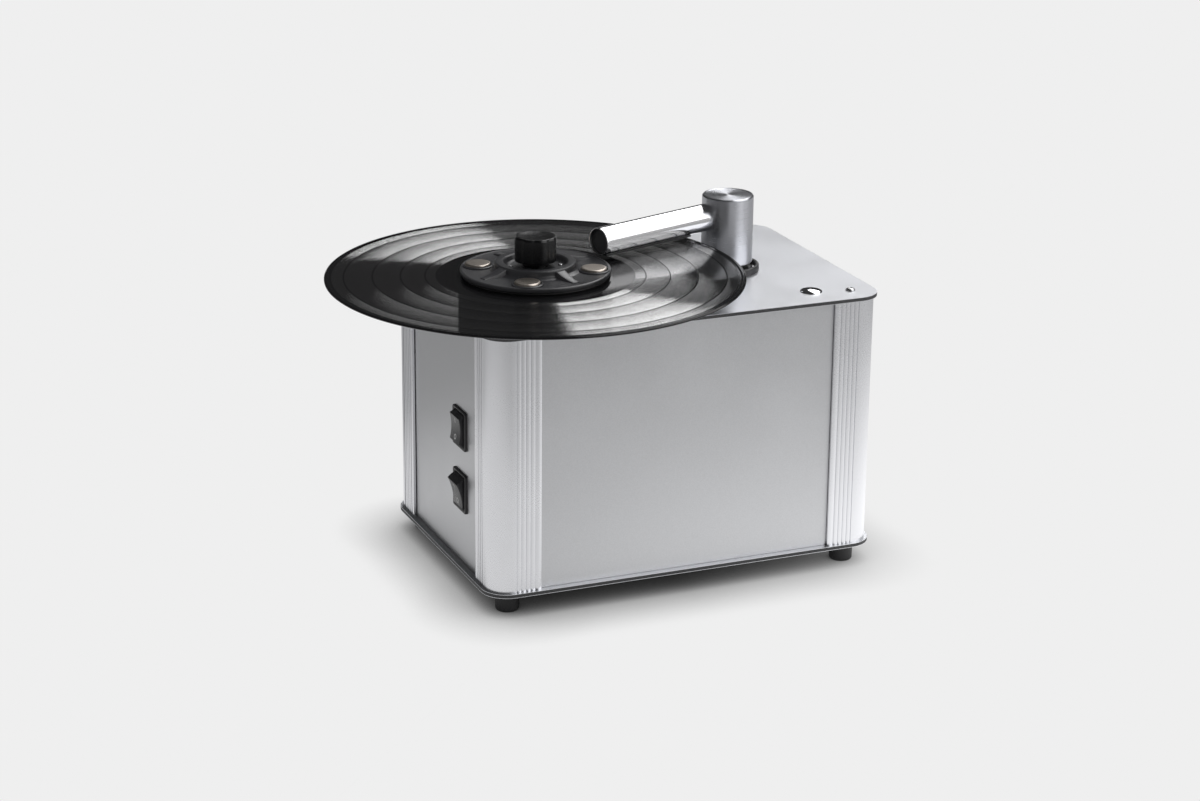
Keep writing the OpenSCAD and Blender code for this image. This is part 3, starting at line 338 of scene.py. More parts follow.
def groove_walls(m, radius, tilt):
    """Leans the normal in and out along the record's radius, by up to tilt as a tangent. The lean is worked
    out on the record at rest and turned with it into the world."""
    wave = m.math("PINGPONG", radius, GROOVE_PITCH / 2)
    lean = m.span(wave, 0.0, GROOVE_PITCH / 2, -tilt, tilt)
    x, y, _ = m.split(m.coords(offset=(SPINDLE.x, SPINDLE.y, 0)))
    wall = m.node("ShaderNodeCombineXYZ")
    for k, part in enumerate((x, y)):
        m.links.new(m.math("MULTIPLY", m.math("DIVIDE", part, radius), lean), wall.inputs[k])
    face_normal = m.node("ShaderNodeNewGeometry")
    leaning = m.node("ShaderNodeVectorMath", operation="ADD")
    turned = m.node("ShaderNodeVectorTransform", vector_type="VECTOR", convert_from="OBJECT",
                    convert_to="WORLD")
    m.links.new(wall.outputs[0], turned.inputs[0])
    m.links.new(face_normal.outputs["Normal"], leaning.inputs[0])
    m.links.new(turned.outputs[0], leaning.inputs[1])
    unit = m.node("ShaderNodeVectorMath", operation="NORMALIZE")
    m.links.new(leaning.outputs[0], unit.inputs[0])
    m.links.new(unit.outputs[0], m.bsdf.inputs["Normal"])


def make_materials():
    """The material of each of the record's slots, and a few more that only new pieces have."""
    mats = {}
    mats["panel"] = grainy("panel_metal", (0.62, 0.625, 0.64), 1.0, 0.40, grain=1500, spread=0.05,
                           height=0.30, scuffs=0.1)
    mats["profile"] = grainy("profile_metal", (0.84, 0.845, 0.87), 1.0, 0.30, grain=2400, spread=0.01,
                             height=0.03)
    mats["plate_skin"] = grainy("plate_skin_metal", (0.765, 0.775, 0.805), 1.0, 0.38, grain=1700,
                                spread=0.03, height=0.12, scuffs=0.1)
    mats["plate_core"] = grainy("plate_core_plastic", (0.045, 0.045, 0.048), 0.0, 0.50, grain=900,
                                spread=0.25, height=0.4)
    mats["foot_rubber"] = grainy("foot_rubber", (0.016, 0.016, 0.017), 0.0, 0.50, grain=1200,
                                 spread=0.3, height=0.5, scuffs=0.3)
    mats["steel_fastener"] = grainy("steel", (0.62, 0.62, 0.63), 1.0, 0.25, grain=2500, spread=0.05)
    mats["bright_chrome"] = grainy("chrome", (0.86, 0.86, 0.88), 1.0, 0.06, grain=60, spread=0.02,
                                   height=0.02)
    mats["black_plastic"] = grainy("black_plastic", (0.022, 0.022, 0.024), 0.0, 0.38, grain=2200,
                                   spread=0.25, height=0.3)
    mats["rocker_plastic"] = grainy("rocker_plastic", (0.020, 0.020, 0.022), 0.0, 0.30, grain=2600,
                                    spread=0.2, height=0.15)
    mats["machined_aluminium"] = grainy("machined_aluminium", (0.80, 0.805, 0.82), 1.0, 0.24,
                                        grain=2000, spread=0.03, height=0.05, stretch=(0.2, 0.2, 1))
    mats["drive_metal"] = grainy("drive_metal", (0.28, 0.29, 0.31), 0.6, 0.45, grain=900, spread=0.1)
    mats["tube_metal"] = grainy("tube_metal", (0.86, 0.86, 0.875), 1.0, 0.13, grain=700, spread=0.02,
                                height=0.02)
    mats["tank_plastic"] = grainy("tank_plastic", (0.60, 0.64, 0.67), 0.0, 0.35, grain=500,
                                  spread=0.05)
    mats["brass_metal"] = grainy("brass", (0.70, 0.66, 0.58), 1.0, 0.28, grain=1500, spread=0.05)
    mats["lever_paint"] = grainy("lever_paint", (0.45, 0.02, 0.02), 0.0, 0.35, grain=1200, spread=0.1)
    mats["supply_case"] = grainy("supply_case", (0.60, 0.60, 0.58), 1.0, 0.35, grain=1500,
                                 spread=0.04)
    mats["board_laminate"] = grainy("board_laminate", (0.02, 0.14, 0.06), 0.0, 0.35, grain=700,
                                    spread=0.15)
    mats["velvet"] = grainy("velvet", (0.018, 0.018, 0.022), 0.0, 0.9, grain=3000, spread=0.5,
                            height=0.8, Sheen_Weight=0.6)
    mats["clamp_black"] = grainy("clamp_black", (0.030, 0.030, 0.033), 0.0, 0.30, grain=2200,
                                 spread=0.15, height=0.1)
    mats["magnet_nickel"] = grainy("magnet_nickel", (0.52, 0.47, 0.42), 1.0, 0.30, grain=1500,
                                   spread=0.06, height=0.2, scuffs=0.2)
    mats["vinyl"] = vinyl("vinyl_grooves", 0.075, 0.32, Specular_IOR_Level=1.0, IOR=2.55)
    mats["vinyl_smooth"] = vinyl("vinyl_smooth", 0.12, 0, Specular_IOR_Level=0.35)
    mats["label_paper"] = grainy("label_paper", (0.030, 0.030, 0.033), 0.0, 0.65, grain=2500,
                                 spread=0.2, height=0.3)
    mats["post_metal"] = lathed("post_metal", (0.67, 0.68, 0.72), 1.0, 0.30, POST, Anisotropic=0.7)
    mats["turned_aluminium"] = lathed("turned_aluminium", (0.78, 0.785, 0.80), 1.0, 0.26, SPINDLE,
                                      Anisotropic=0.6)
    mats["knob_plastic"] = grainy("knob_plastic", (0.003, 0.003, 0.0035), 0.0, 0.26, grain=2600,
                                  spread=0.2, height=0.1)
    mats["collar_plastic"] = grainy("collar_plastic", (0.045, 0.045, 0.048), 0.0, 0.32, grain=2200,
                                    spread=0.2, height=0.2)
    mats["mark_ink"] = grainy("mark_ink", (0.60, 0.60, 0.60), 0.0, 0.5, grain=3000, spread=0.05)
    return mats


# Mesh helpers: profiles and outlines are in millimetres, places in metres

FILLET_STEPS = 4
FILLET_REACH = 0.48


def fillet(points):
    """Rounds the corners, but not the ends, of a path whose points are (r, z) or (r, z, radius)."""
    out = []
    for i, p in enumerate(points):
        radius = p[2] if len(p) > 2 else 0
        here = Vector(p[:2])
        if not radius or i in (0, len(points) - 1):
            out.append(tuple(here))
            continue
        a = Vector(points[i - 1][:2]) - here
        b = Vector(points[i + 1][:2]) - here
        half = a.angle(b) / 2
        cut = min(radius / math.tan(half), FILLET_REACH * a.length, FILLET_REACH * b.length)
        a.normalize()
        b.normalize()
        centre = here + (a + b).normalized() * (cut / math.cos(half))
        start, end = here + a * cut - centre, here + b * cut - centre
        sweep = math.pi - 2 * half
        for k in range(FILLET_STEPS + 1):
            t = k / FILLET_STEPS
            v = (start * math.sin((1 - t) * sweep) + end * math.sin(t * sweep)) / math.sin(sweep)
            out.append(tuple(centre + v))
    return out


def face(bm, corners, paint=0):
    f = bm.faces.new(corners)
    f.material_index = paint
    f.smooth = True


def lathe(bm, path, steps, place, closed=False, shape=None, paint=None):
    """Turns a path of (r, z) points about the Z axis of place. Shape changes a point by its number and
    angle, and paint gives the material of a stretch of the path by its number."""
    rings = []
    for k, (r, z) in enumerate(path):
        if r < 1e-6:
            rings.append([bm.verts.new(place @ Vector((0, 0, z * MM)))])
            continue
        ring = []
        for i in range(steps):
            a = TAU * i / steps
            rr, zz = shape(k, r, z, a) if shape else (r, z)
            ring.append(bm.verts.new(place @ (Vector((rr * math.cos(a), rr * math.sin(a), zz)) * MM)))
        rings.append(ring)
    pairs = list(zip(rings, rings[1:])) + ([(rings[-1], rings[0])] if closed else [])
    for k, (a, b) in enumerate(pairs):
        if len(a) == 1 and len(b) == 1:
            continue
        tone = paint(k) if paint else 0
        for i in range(steps):
            j = (i + 1) % steps
            if len(a) == 1:
                face(bm, (a[0], b[j], b[i]), tone)
            elif len(b) == 1:
                face(bm, (a[i], a[j], b[0]), tone)
            else:
                face(bm, (a[i], a[j], b[j], b[i]), tone)


def hexagon(marked):
    """A shape for lathe: the marked rings are six-sided."""
    def shape(k, r, z, a):
        if k in marked:
            r *= math.cos(math.pi / 6) / math.cos(a % (TAU / 6) - math.pi / 6)
        return r, z
    return shape


def loft(bm, loops, closed=False):
    """Joins outlines of as many points each, given in metres. It caps both ends, or joins them if closed."""
    rings = [[bm.verts.new(p) for p in loop] for loop in loops]
    pairs = list(zip(rings, rings[1:])) + ([(rings[-1], rings[0])] if closed else [])
    for a, b in pairs:
        for i in range(len(a)):
            j = (i + 1) % len(a)
            face(bm, (a[i], a[j], b[j], b[i]))
    if not closed:
        face(bm, rings[0][::-1])
        face(bm, rings[-1])


CORNER_STEPS = 5


def round_rect(w, h, r):
    out = []
    for cx, cy, turn in ((1, 1, 0), (-1, 1, 1), (-1, -1, 2), (1, -1, 3)):
        for k in range(CORNER_STEPS + 1):
            a = (turn + k / CORNER_STEPS) * math.pi / 2
            out.append((cx * (w / 2 - r) + r * math.cos(a), cy * (h / 2 - r) + r * math.sin(a)))
    return out


def inset(outline, d):
    """The outline moved inwards by d; counter-clockwise outlines only."""
    out = []
    count = len(outline)
    for i in range(count):
        p, q, s = Vector(outline[i - 1]), Vector(outline[i]), Vector(outline[(i + 1) % count])
        a, b = (q - p).normalized(), (s - q).normalized()
        n = Vector((-a.y - b.y, a.x + b.x)).normalized()
        out.append(tuple(q + n * d))
    return out


EDGE_STEPS = 3


def slab(bm, outline, low, high, edge, place):
    """A plate between two heights with rounded rims."""
    area = sum(outline[i - 1][0] * outline[i][1] - outline[i][0] * outline[i - 1][1]
               for i in range(len(outline)))
    if area < 0:
        outline = outline[::-1]
    turns = [k / EDGE_STEPS * math.pi / 2 for k in range(EDGE_STEPS + 1)]
    layers = [(edge * (1 - math.sin(a)), low + edge * (1 - math.cos(a))) for a in turns]
    layers += [(edge * (1 - math.sin(a)), high - edge * (1 - math.cos(a))) for a in turns[::-1]]
    loops = []
    for d, z in layers:
        line = inset(outline, d) if d > 1e-6 else outline
        loops.append([place @ (Vector((u, v, z)) * MM) for u, v in line])
    loft(bm, loops)


def piece(name, bm, mats, body, replaces=(), sharp=32):
    """Makes an object of the mesh, rides it on a body and hides the CAD parts it stands for."""
    bmesh.ops.recalc_face_normals(bm, faces=bm.faces)
    mesh = bpy.data.meshes.new(name)
    bm.to_mesh(mesh)
    bm.free()
    for m in mats:
        mesh.materials.append(m.mat)
    mesh.set_sharp_from_angle(angle=math.radians(sharp))
    obj = add(name, mesh)
    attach(obj, body)
    if replaces:
        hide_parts(*replaces)
    return obj


def screw_head(bm, place, r, h, socket, shank=2.0):
    """A button head with a hexagon socket, standing on z = 0, and a thinner shank below it."""
    slope = math.radians(62)
    neck = 0.6 * r
    rim = 0.25 * h
    lip = socket * 1.25
    path = [(0, -shank), (neck, -shank), (neck, -0.02), (r, -0.02), (r, rim)]
    for k in range(1, 5):
        a = k / 4 * slope
        path.append((r - (r - lip) * (1 - math.cos(a)) / (1 - math.cos(slope)),
                     rim + 0.75 * h * math.sin(a) / math.sin(slope)))
    first = len(path)
    path += [(socket * 1.1, h * 0.98), (socket, h * 0.86), (socket, h * 0.25), (0, h * 0.12)]
    lathe(bm, path, 48, place, shape=hexagon(range(first, first + 3)))


# Record: radii in millimetres

GROOVES_OUT = 145.8
GROOVES_IN = 71.5
TRACK_GAPS = (79.0, 96.5, 116.5, 137.0)
GAP_W = 1.1
GROOVE_SINK = 0.24
GAP_SINK = 0.28


def make_record(mats):
    top, low = RECORD_TOP / MM, RECORD_LOW / MM
    r = (high_of("record")[0] - low_of("record")[0]) / MM / 2
    side = [(3.6, 0.0, 0.2), (54.0, 0.0, 0.4), (55.5, 0.22, 0.4), (GROOVES_IN, GROOVE_SINK)]
    for gap in TRACK_GAPS:
        inner, outer = gap - GAP_W / 2, gap + GAP_W / 2
        side += [(inner, GROOVE_SINK), (inner + 0.2, GAP_SINK), (outer - 0.2, GAP_SINK),
                 (outer, GROOVE_SINK)]
    side += [(GROOVES_OUT, GROOVE_SINK), (147.2, 0.22, 0.5), (148.6, 0.0, 0.9), (r - 0.8, 0.0, 0.5),
             (r, 0.55, 0.5)]
    upper = fillet([(p[0], top - p[1], *p[2:]) for p in side])
    lower = fillet([(p[0], low + p[1], *p[2:]) for p in side])
    path = upper + [(r, (top + low) / 2)] + lower[::-1]

    def tone(k):
        """0 for grooves, and 1 for the smooth stretches: label, edge and the gaps between tracks."""
        inner, outer = sorted((path[k][0], path[(k + 1) % len(path)][0]))
        if inner < GROOVES_IN - 0.01 or outer > GROOVES_OUT + 0.01:
            return 1
        return 1 if any(abs((inner + outer) / 2 - g) < GAP_W / 2 + 0.01 for g in TRACK_GAPS) else 0

    bm = bmesh.new()
    lathe(bm, path, 256, at(SPINDLE, 0), closed=True, paint=tone)
    piece("record_disc", bm, [mats["vinyl"], mats["vinyl_smooth"]], "turntable", ["record"])
    bm = bmesh.new()
    for z, sign in ((top, -1), (low, 1)):
        under = z + 0.12 * sign
        label = fillet([(3.8, under), (3.8, z, 0.05), (49.6, z, 0.06), (49.8, under)])
        lathe(bm, label, 128, at(SPINDLE, 0), closed=True)
    piece("record_labels", bm, [mats["label_paper"]], "turntable")


# Clamp: profiles in millimetres, heights above the record; turns in degrees

MAGNETS = 4
MAGNET_TURN = 150.65
MAGNET_CIRCLE = 41.9
HUB_SCREWS = 6
HUB_SCREW_CIRCLE = 17.9
HUB_SCREW_Z = 6.25
KNOB_LOW = 6.4
KNOB_LOBES = 8
KNOB_SCALLOP = 1.05
RIB_LOW = 4.2
# How far out, how wide and how high
RIB_SECTIONS = ((27.0, 8.6, 9.4), (29.6, 8.5, 9.2), (36.0, 7.4, 7.0), (43.0, 6.4, 5.6), (47.0, 5.8, 5.1))


def clamp_places(count, circle, turn):
    for i in range(count):
        a = math.radians(turn + 360 * i / count)
        yield Matrix.Rotation(a, 4, "Z") @ Matrix.Translation((circle * MM, 0, 0))


def make_clamp(mats):
    base = at(SPINDLE, RECORD_TOP)
    bm = bmesh.new()
    disc = fillet([(3.7, 1.8), (53.4, 1.8, 0.3), (CLAMP_R, 2.3, 0.4), (CLAMP_R, 4.0, 0.3), (53.9, 4.55, 0.4),
                   (53.0, 4.9, 0.4), (52.0, 4.9, 0.1), (51.7, 4.65, 0.2), (33.2, 4.65, 1.4),
                   (29.3, 6.2, 1.2), (29.3, 9.6, 0.6), (28.6, 10.3, 0.6), (23.6, 10.3, 0.6),
                   (22.6, 9.6, 0.6), (21.2, 7.0, 0.8), (20.0, 6.3, 0.8), (10.5, 6.3, 0.4),
                   (10.0, 6.8, 0.3), (3.7, 6.8)])
    lathe(bm, disc, 192, base, closed=True)
    cup = fillet([(9.75, 4.2), (9.75, 5.7, 0.25), (10.4, 5.85, 0.3), (11.3, 5.5, 0.4), (11.5, 4.2)])
    for spot in clamp_places(MAGNETS, MAGNET_CIRCLE, MAGNET_TURN):
        lathe(bm, cup, 64, base @ spot, closed=True)
    for spot in clamp_places(MAGNETS, 0, MAGNET_TURN + 45):
        rib(bm, base @ spot)
    piece("clamp_body", bm, [mats["clamp_black"]], "clamp", ["clamp_disc"])

    bm = bmesh.new()
    seal = fillet([(45.2, 0.06), (52.4, 0.06, 0.3), (52.9, 0.35, 0.2), (52.9, 0.62, 0.2), (52.5, 0.75, 0.1),
                   (52.9, 0.9, 0.1), (52.9, 1.2, 0.2), (52.5, 1.32, 0.1), (52.9, 1.5, 0.1),
                   (52.9, 1.79, 0.1), (45.2, 1.79)])
    lathe(bm, seal, 192, base, closed=True)
    piece("clamp_ring_seal", bm, [mats["foot_rubber"]], "clamp", ["clamp_seal"])

    bm = bmesh.new()
    slug = fillet([(0, 3.8), (9.4, 3.8), (9.4, 6.4, 0.5), (9.0, 7.0, 0.5), (8.2, 7.15, 0.4), (0, 7.15)])
    for spot in clamp_places(MAGNETS, MAGNET_CIRCLE, MAGNET_TURN):
        lathe(bm, slug, 64, base @ spot)
    piece("clamp_magnet_slugs", bm, [mats["magnet_nickel"]], "clamp", ["clamp_magnets"])

    bm = bmesh.new()
    for spot in clamp_places(HUB_SCREWS, HUB_SCREW_CIRCLE, MAGNET_TURN + 15):
        screw_head(bm, base @ spot @ Matrix.Translation((0, 0, HUB_SCREW_Z * MM)), 1.7, 1.0, 0.85)
    piece("clamp_hub_screws", bm, [mats["steel_fastener"]], "clamp")

    make_knob(mats, base)


def make_knob(mats, base):
    knob = fillet([(0, KNOB_LOW), (3.7, KNOB_LOW), (9.0, KNOB_LOW), (9.0, 9.9, 0.8), (14.2, 10.2, 0.6),
                   (15.5, 11.2, 0.8), (15.5, 27.4, 0.8), (14.4, 28.8, 0.9), (12.6, 28.7, 0.5),
                   (8.0, 28.15), (3.0, 28.0), (0, 28.0)])
    side = [k for k, p in enumerate(knob) if p[0] > 11.5 and p[1] > 10.0]

    def scallop(k, r, z, a):
        if k in side:
            reach = 0.5 + 0.5 * math.cos(KNOB_LOBES * a)
            r -= KNOB_SCALLOP * (1 - reach) ** 1.6 * (r - 9) / 6.5
        return r, z

    bm = bmesh.new()
    lathe(bm, knob, 192, base, shape=scallop)
    piece("clamp_knob_grip", bm, [mats["knob_plastic"]], "clamp", ["clamp_knob"])


def rib(bm, place):
    """A rib that slopes from the hub down to the disc, wider at the hub."""
    quarter = [k / 3 * math.pi / 2 for k in range(4)]
    loops = []
    for x, w, z in RIB_SECTIONS:
        r = 0.7 if z - RIB_LOW > 1.0 else 0.35
        loop = [(-w / 2 - 0.5, RIB_LOW), (w / 2 + 0.5, RIB_LOW)]
        loop += [(w / 2 - r + r * math.cos(a), z - r + r * math.sin(a)) for a in quarter]
        loop += [(-w / 2 + r + r * math.cos(math.pi / 2 + a), z - r + r * math.sin(math.pi / 2 + a))
                 for a in quarter]
        loops.append([place @ (Vector((x, y, h)) * MM) for y, h in loop])
    loft(bm, loops)


# Arm and its post: millimetres along the tube from the post's axis, and the sizes of the CAD

ARM_TURN = math.radians(1.9)
SPAN = math.hypot(SPINDLE.x - POST.x, SPINDLE.y - POST.y) / MM
ARM_REACH = SPAN * math.cos(ARM_TURN)
ARM_ASIDE = SPAN * math.sin(ARM_TURN)
TIP_GAP = 5.6
ARM_LENGTH = ARM_REACH - CLAMP_R - TIP_GAP
ARM_ROOT = math.sqrt(POST_R ** 2 - (ARM_ASIDE + TUBE_R + 0.05) ** 2) - 0.8
TUBE_WALL = 1.0
TIP_ROUND = 0.45
PLUG_RECESS = 2.5
PLUG_T = 3
SLOT_W = 2.0
SLOT_START = ARM_REACH - RECORD_R + 3
SLOT_END = ARM_LENGTH - PLUG_RECESS - PLUG_T - 0.4
VELVET_INNER = 1.2
VELVET_W = 3.0
VELVET_PAST_SLOT = 1
PILE_STEP = 0.7


def arm_place():
    span = SPINDLE - POST
    turn = math.atan2(span.y, span.x) + ARM_TURN
    return (at(POST, middle("arm_end_plug").z) @ Matrix.Rotation(turn, 4, "Z")
            @ Matrix.Translation((0, -ARM_ASIDE * MM, 0)))


def make_arm(mats):
    top = high_of("arm_post")[2] / MM
    low = low_of("arm_post")[2] / MM
    post = fillet([(14.3, top - 20), (14.3, low, 0.3), (18.9, low, 0.4), (POST_R, low + 0.6, 0.4),
                   (POST_R, top - 0.9, 0.7), (18.5, top, 0.5), (17.2, top, 0.3), (16.8, top - 0.22, 0.2),
                   (7.0, top - 0.3, 0.4), (0, top - 0.34)])
    bm = bmesh.new()
    lathe(bm, [(0, top - 20)] + post, 160, at(POST, 0))
    piece("arm_post_turned", bm, [mats["post_metal"]], "arm", ["arm_post"])

    place = arm_place()
    bm = bmesh.new()
    tube_wall(bm, place)
    piece("arm_tube_polished", bm, [mats["tube_metal"]], "arm", ["arm_tube"], sharp=40)

    inner, outer = ARM_LENGTH - 5.4, ARM_LENGTH - 2.9
    plug = fillet([(0, inner), (9.25, inner, 0.3), (9.25, ARM_LENGTH - 2.6, 0.5),
                   (8.4, ARM_LENGTH - 2.5, 0.4), (7.6, outer, 0.3), (0, outer)])
    bm = bmesh.new()
    lathe(bm, plug, 72, place @ Matrix.Rotation(math.radians(90), 4, "Y"))
    piece("arm_plug", bm, [mats["black_plastic"]], "arm", ["arm_end_plug"])

    bm = bmesh.new()
    for side in (-1, 1):
        velvet_strip(bm, place, side * (VELVET_INNER + VELVET_W / 2))
    strips = piece("velvet_pads", bm, [mats["velvet"]], "arm", ["velvet_strips"])


def tube_wall(bm, place):
    """The tube with a rounded tip and the suction slot along its underside. Each ring starts with two points
    on the slot's edges."""
    half = math.asin(SLOT_W / 2 / TUBE_R)
    angles = [-half, half] + [half + (TAU - 2 * half) * k / 95 for k in range(1, 95)]
    rows = [(ARM_ROOT, 0.0), (SLOT_START, 0.0), (SLOT_END, 0.0), (ARM_LENGTH - TIP_ROUND, 0.0)]
    rows += [(ARM_LENGTH - TIP_ROUND + TIP_ROUND * math.sin(a), TIP_ROUND * (1 - math.cos(a)))
             for a in (math.radians(30), math.radians(60), math.radians(90))]
    rows += [(ARM_LENGTH - 0.12, TUBE_WALL - 0.12), (ARM_LENGTH - 0.35, TUBE_WALL),
             (SLOT_END, TUBE_WALL), (SLOT_START, TUBE_WALL), (ARM_ROOT, TUBE_WALL)]
    rings = []
    for x, depth in rows:
        r = TUBE_R - depth
        ring = []
        for k, a in enumerate(angles):
            y, z = r * math.sin(a), -r * math.cos(a)
            if k < 2:
                y = math.copysign(SLOT_W / 2, a)
                z = -math.sqrt(r * r - y * y)
            ring.append(bm.verts.new(place @ (Vector((x, y, z)) * MM)))
        rings.append(ring)
    count = len(angles)
    # The slot lies between these rings and the next ones, outside and inside
    slot_out, slot_in = 1, len(rows) - 3
    for n, (a, b) in enumerate(zip(rings, rings[1:] + rings[:1])):
        for i in range(count):
            j = (i + 1) % count
            if i > 0 or n not in (slot_out, slot_in):
                face(bm, (a[i], a[j], b[j], b[i]))
    outer_start, outer_end = rings[slot_out], rings[slot_out + 1]
    inner_end, inner_start = rings[slot_in], rings[slot_in + 1]
    for k in (0, 1):
        face(bm, (outer_start[k], outer_end[k], inner_end[k], inner_start[k]))
    for outer, inner in ((outer_start, inner_start), (outer_end, inner_end)):
        face(bm, (outer[0], outer[1], inner[1], inner[0]))


def velvet_strip(bm, place, middle_y):
    """A strip of pile under the tube: a round-shouldered bar with an uneven napped face."""
    start, end = SLOT_START - VELVET_PAST_SLOT, SLOT_END + VELVET_PAST_SLOT
    steps = int((end - start) / PILE_STEP)
    outline = ((-0.5, -9.9), (-0.5, -10.8), (-0.42, -11.1), (-0.25, -11.24), (0, -11.27),
               (0.25, -11.24), (0.42, -11.1), (0.5, -10.8), (0.5, -9.9), (0, -9.9))
    loops = []
    for n in range(steps + 1):
        x = start + (end - start) * n / steps
        ease = min(1.0, n / 2 + 0.35, (steps - n) / 2 + 0.35)
        loop = []
        for y, z in outline:
            across = middle_y + y * VELVET_W * (0.9 + 0.08 * ease)
            pile = 0.05 * noise.noise(Vector((x * 1.7, (middle_y + y * VELVET_W) * 1.7, z)))
            napped = pile - 0.04 + 0.25 * (1 - ease) if z < -11 else 0
            loop.append(place @ (Vector((x, across, z + napped)) * MM))
        loops.append(loop)
    loft(bm, loops)


COLLAR_SCREWS = 3
COLLAR_SCREW_TURN = -20
COLLAR_SCREW_CIRCLE = 20
COLLAR_FLOOR = 1.5


def make_collar(mats):
    ring = fillet([(16.7, -0.1), (24.5, -0.1), (24.7, 0.3, 0.2), (24.7, 4.2, 0.5), (24.2, 5.0, 0.5),
                   (22.4, 5.0, 0.4), (21.8, 4.4, 0.4), (21.8, 2.0, 0.4), (21.3, COLLAR_FLOOR, 0.4),
                   (16.7, COLLAR_FLOOR)])
    bm = bmesh.new()
    lathe(bm, ring, 128, at(POST, DECK), closed=True)
    piece("collar_ring", bm, [mats["collar_plastic"]], "frame", ["arm_collar"])
    bm = bmesh.new()
    for i in range(COLLAR_SCREWS):
        turn = Matrix.Rotation(math.radians(360 / COLLAR_SCREWS * i + COLLAR_SCREW_TURN), 4, "Z")
        spot = turn @ Matrix.Translation((COLLAR_SCREW_CIRCLE * MM, 0, COLLAR_FLOOR * MM))
        screw_head(bm, at(POST, DECK) @ spot, 1.5, 0.9, 0.6, shank=6)
    piece("collar_screw_heads", bm, [mats["steel_fastener"]], "frame", ["collar_screws"])


# Box: screws, feet and the round plug

HEAD_R = 3.6
DOME_R = 8.3
DOME_RISE = 2.1


def make_hardware(mats):
    low, high = low_of("top_screws"), high_of("top_screws")
    corners = [(x, y) for x in (low[0] + HEAD_R * MM, high[0] - HEAD_R * MM)
               for y in (low[1] + HEAD_R * MM, high[1] - HEAD_R * MM)]
    bm = bmesh.new()
    for x, y in corners:
        screw_head(bm, Matrix.Translation((x, y, DECK)), HEAD_R, 1.9, 1.3, shank=14)
    piece("deck_screws", bm, [mats["steel_fastener"]], "frame", ["top_screws"])

    top = high_of("feet")[2] / MM
    foot = fillet([(2.2, top - 9), (4.2, top - 9.4), (4.2, 0.4, 0.3), (4.8, 0, 0.4), (8.0, 0, 0.9),
                   (8.75, 1.2, 0.9), (9.05, top - 2.2, 0.5), (9.2, top - 0.8, 0.5), (8.9, top, 0.4),
                   (2.2, top)])
    bm = bmesh.new()
    for x, y in corners:
        lathe(bm, foot, 72, Matrix.Translation((x, y, 0)), closed=True)
    piece("rubber_feet", bm, [mats["foot_rubber"]], "frame", ["feet"])

    dome = [(0, -5), (5, -5), (5, -0.05), (7.9, -0.05), (8.4, 0.0), (8.38, 0.2)]
    dome += [(DOME_R * math.cos(a), 0.25 + DOME_RISE * math.sin(a))
             for a in [math.radians(v) for v in range(8, 90, 9)]]
    bm = bmesh.new()
    lathe(bm, dome + [(0, 2.36)], 96, at(middle("dome_plug"), DECK))
    piece("dome_cap", bm, [mats["bright_chrome"]], "frame", ["dome_plug"])


# Switches on the left panel: outlines and depths in millimetres, tilts at rest in degrees

SWITCHES = {"motor": 0, "vacuum": 13}
BEZEL_W = 26
BEZEL_H = 30
PIVOT_DEPTH = 2.5
PIN_R = 1.2
PIN_REACH = 10.6
ROCKER_R = 12.5
ROCKER_EDGE = 7.7
ROCKER_HALF = math.sqrt(ROCKER_R ** 2 - ROCKER_EDGE ** 2)
ROCKER_W = 9.7
DISH_R = 40.0
DISH_STEPS = 12
END_STEPS = 4
MARK_PROUD = 0.04
MARK_SUNK = -0.06
RING_STEPS = 32


def side_place(node):
    """A place on the outside of the left panel: X along the machine's side, Y up, Z out of it."""
    m = middle(node)
    turn = Matrix(((0, 0, -1), (-1, 0, 0), (0, 1, 0))).to_4x4()
    return Matrix.Translation((LEFT_FACE, m.y, m.z)) @ turn


def make_switches(mats):
    for name, tilt in SWITCHES.items():
        bezel = name + "_switch_bezel"
        place = side_place(bezel)
        outer = round_rect(BEZEL_W, BEZEL_H, 1.8)
        window = round_rect(20.2, 24.8, 0.5)
        cavity = round_rect(20.2, 26.0, 0.5)
        shell = round_rect(21.8, 27.4, 0.5)
        layers = [(cavity, -9.0), (shell, -9.0), (shell, -0.02), (outer, -0.02), (outer, 1.2),
                  (inset(outer, 0.15), 1.6), (inset(outer, 0.5), 1.9), (inset(outer, 0.9), 1.98),
                  (round_rect(21.6, 26.2, 0.9), 1.55), (round_rect(20.6, 25.2, 0.7), 1.25),
                  (window, 1.0), (window, 0.8), (cavity, 0.78)]
        bm = bmesh.new()
        loft(bm, [[place @ (Vector((u, v, d)) * MM) for u, v in line] for line, d in layers], closed=True)
        piece(name + "_bezel", bm, [mats["black_plastic"]], "frame", [bezel])
        make_rocker(mats, name, place, tilt)


def rocker_face(h):
    """How far out of the pivot the dished face lies at a height on it."""
    return ROCKER_EDGE + math.sqrt(DISH_R ** 2 - ROCKER_HALF ** 2) - math.sqrt(DISH_R ** 2 - h ** 2)


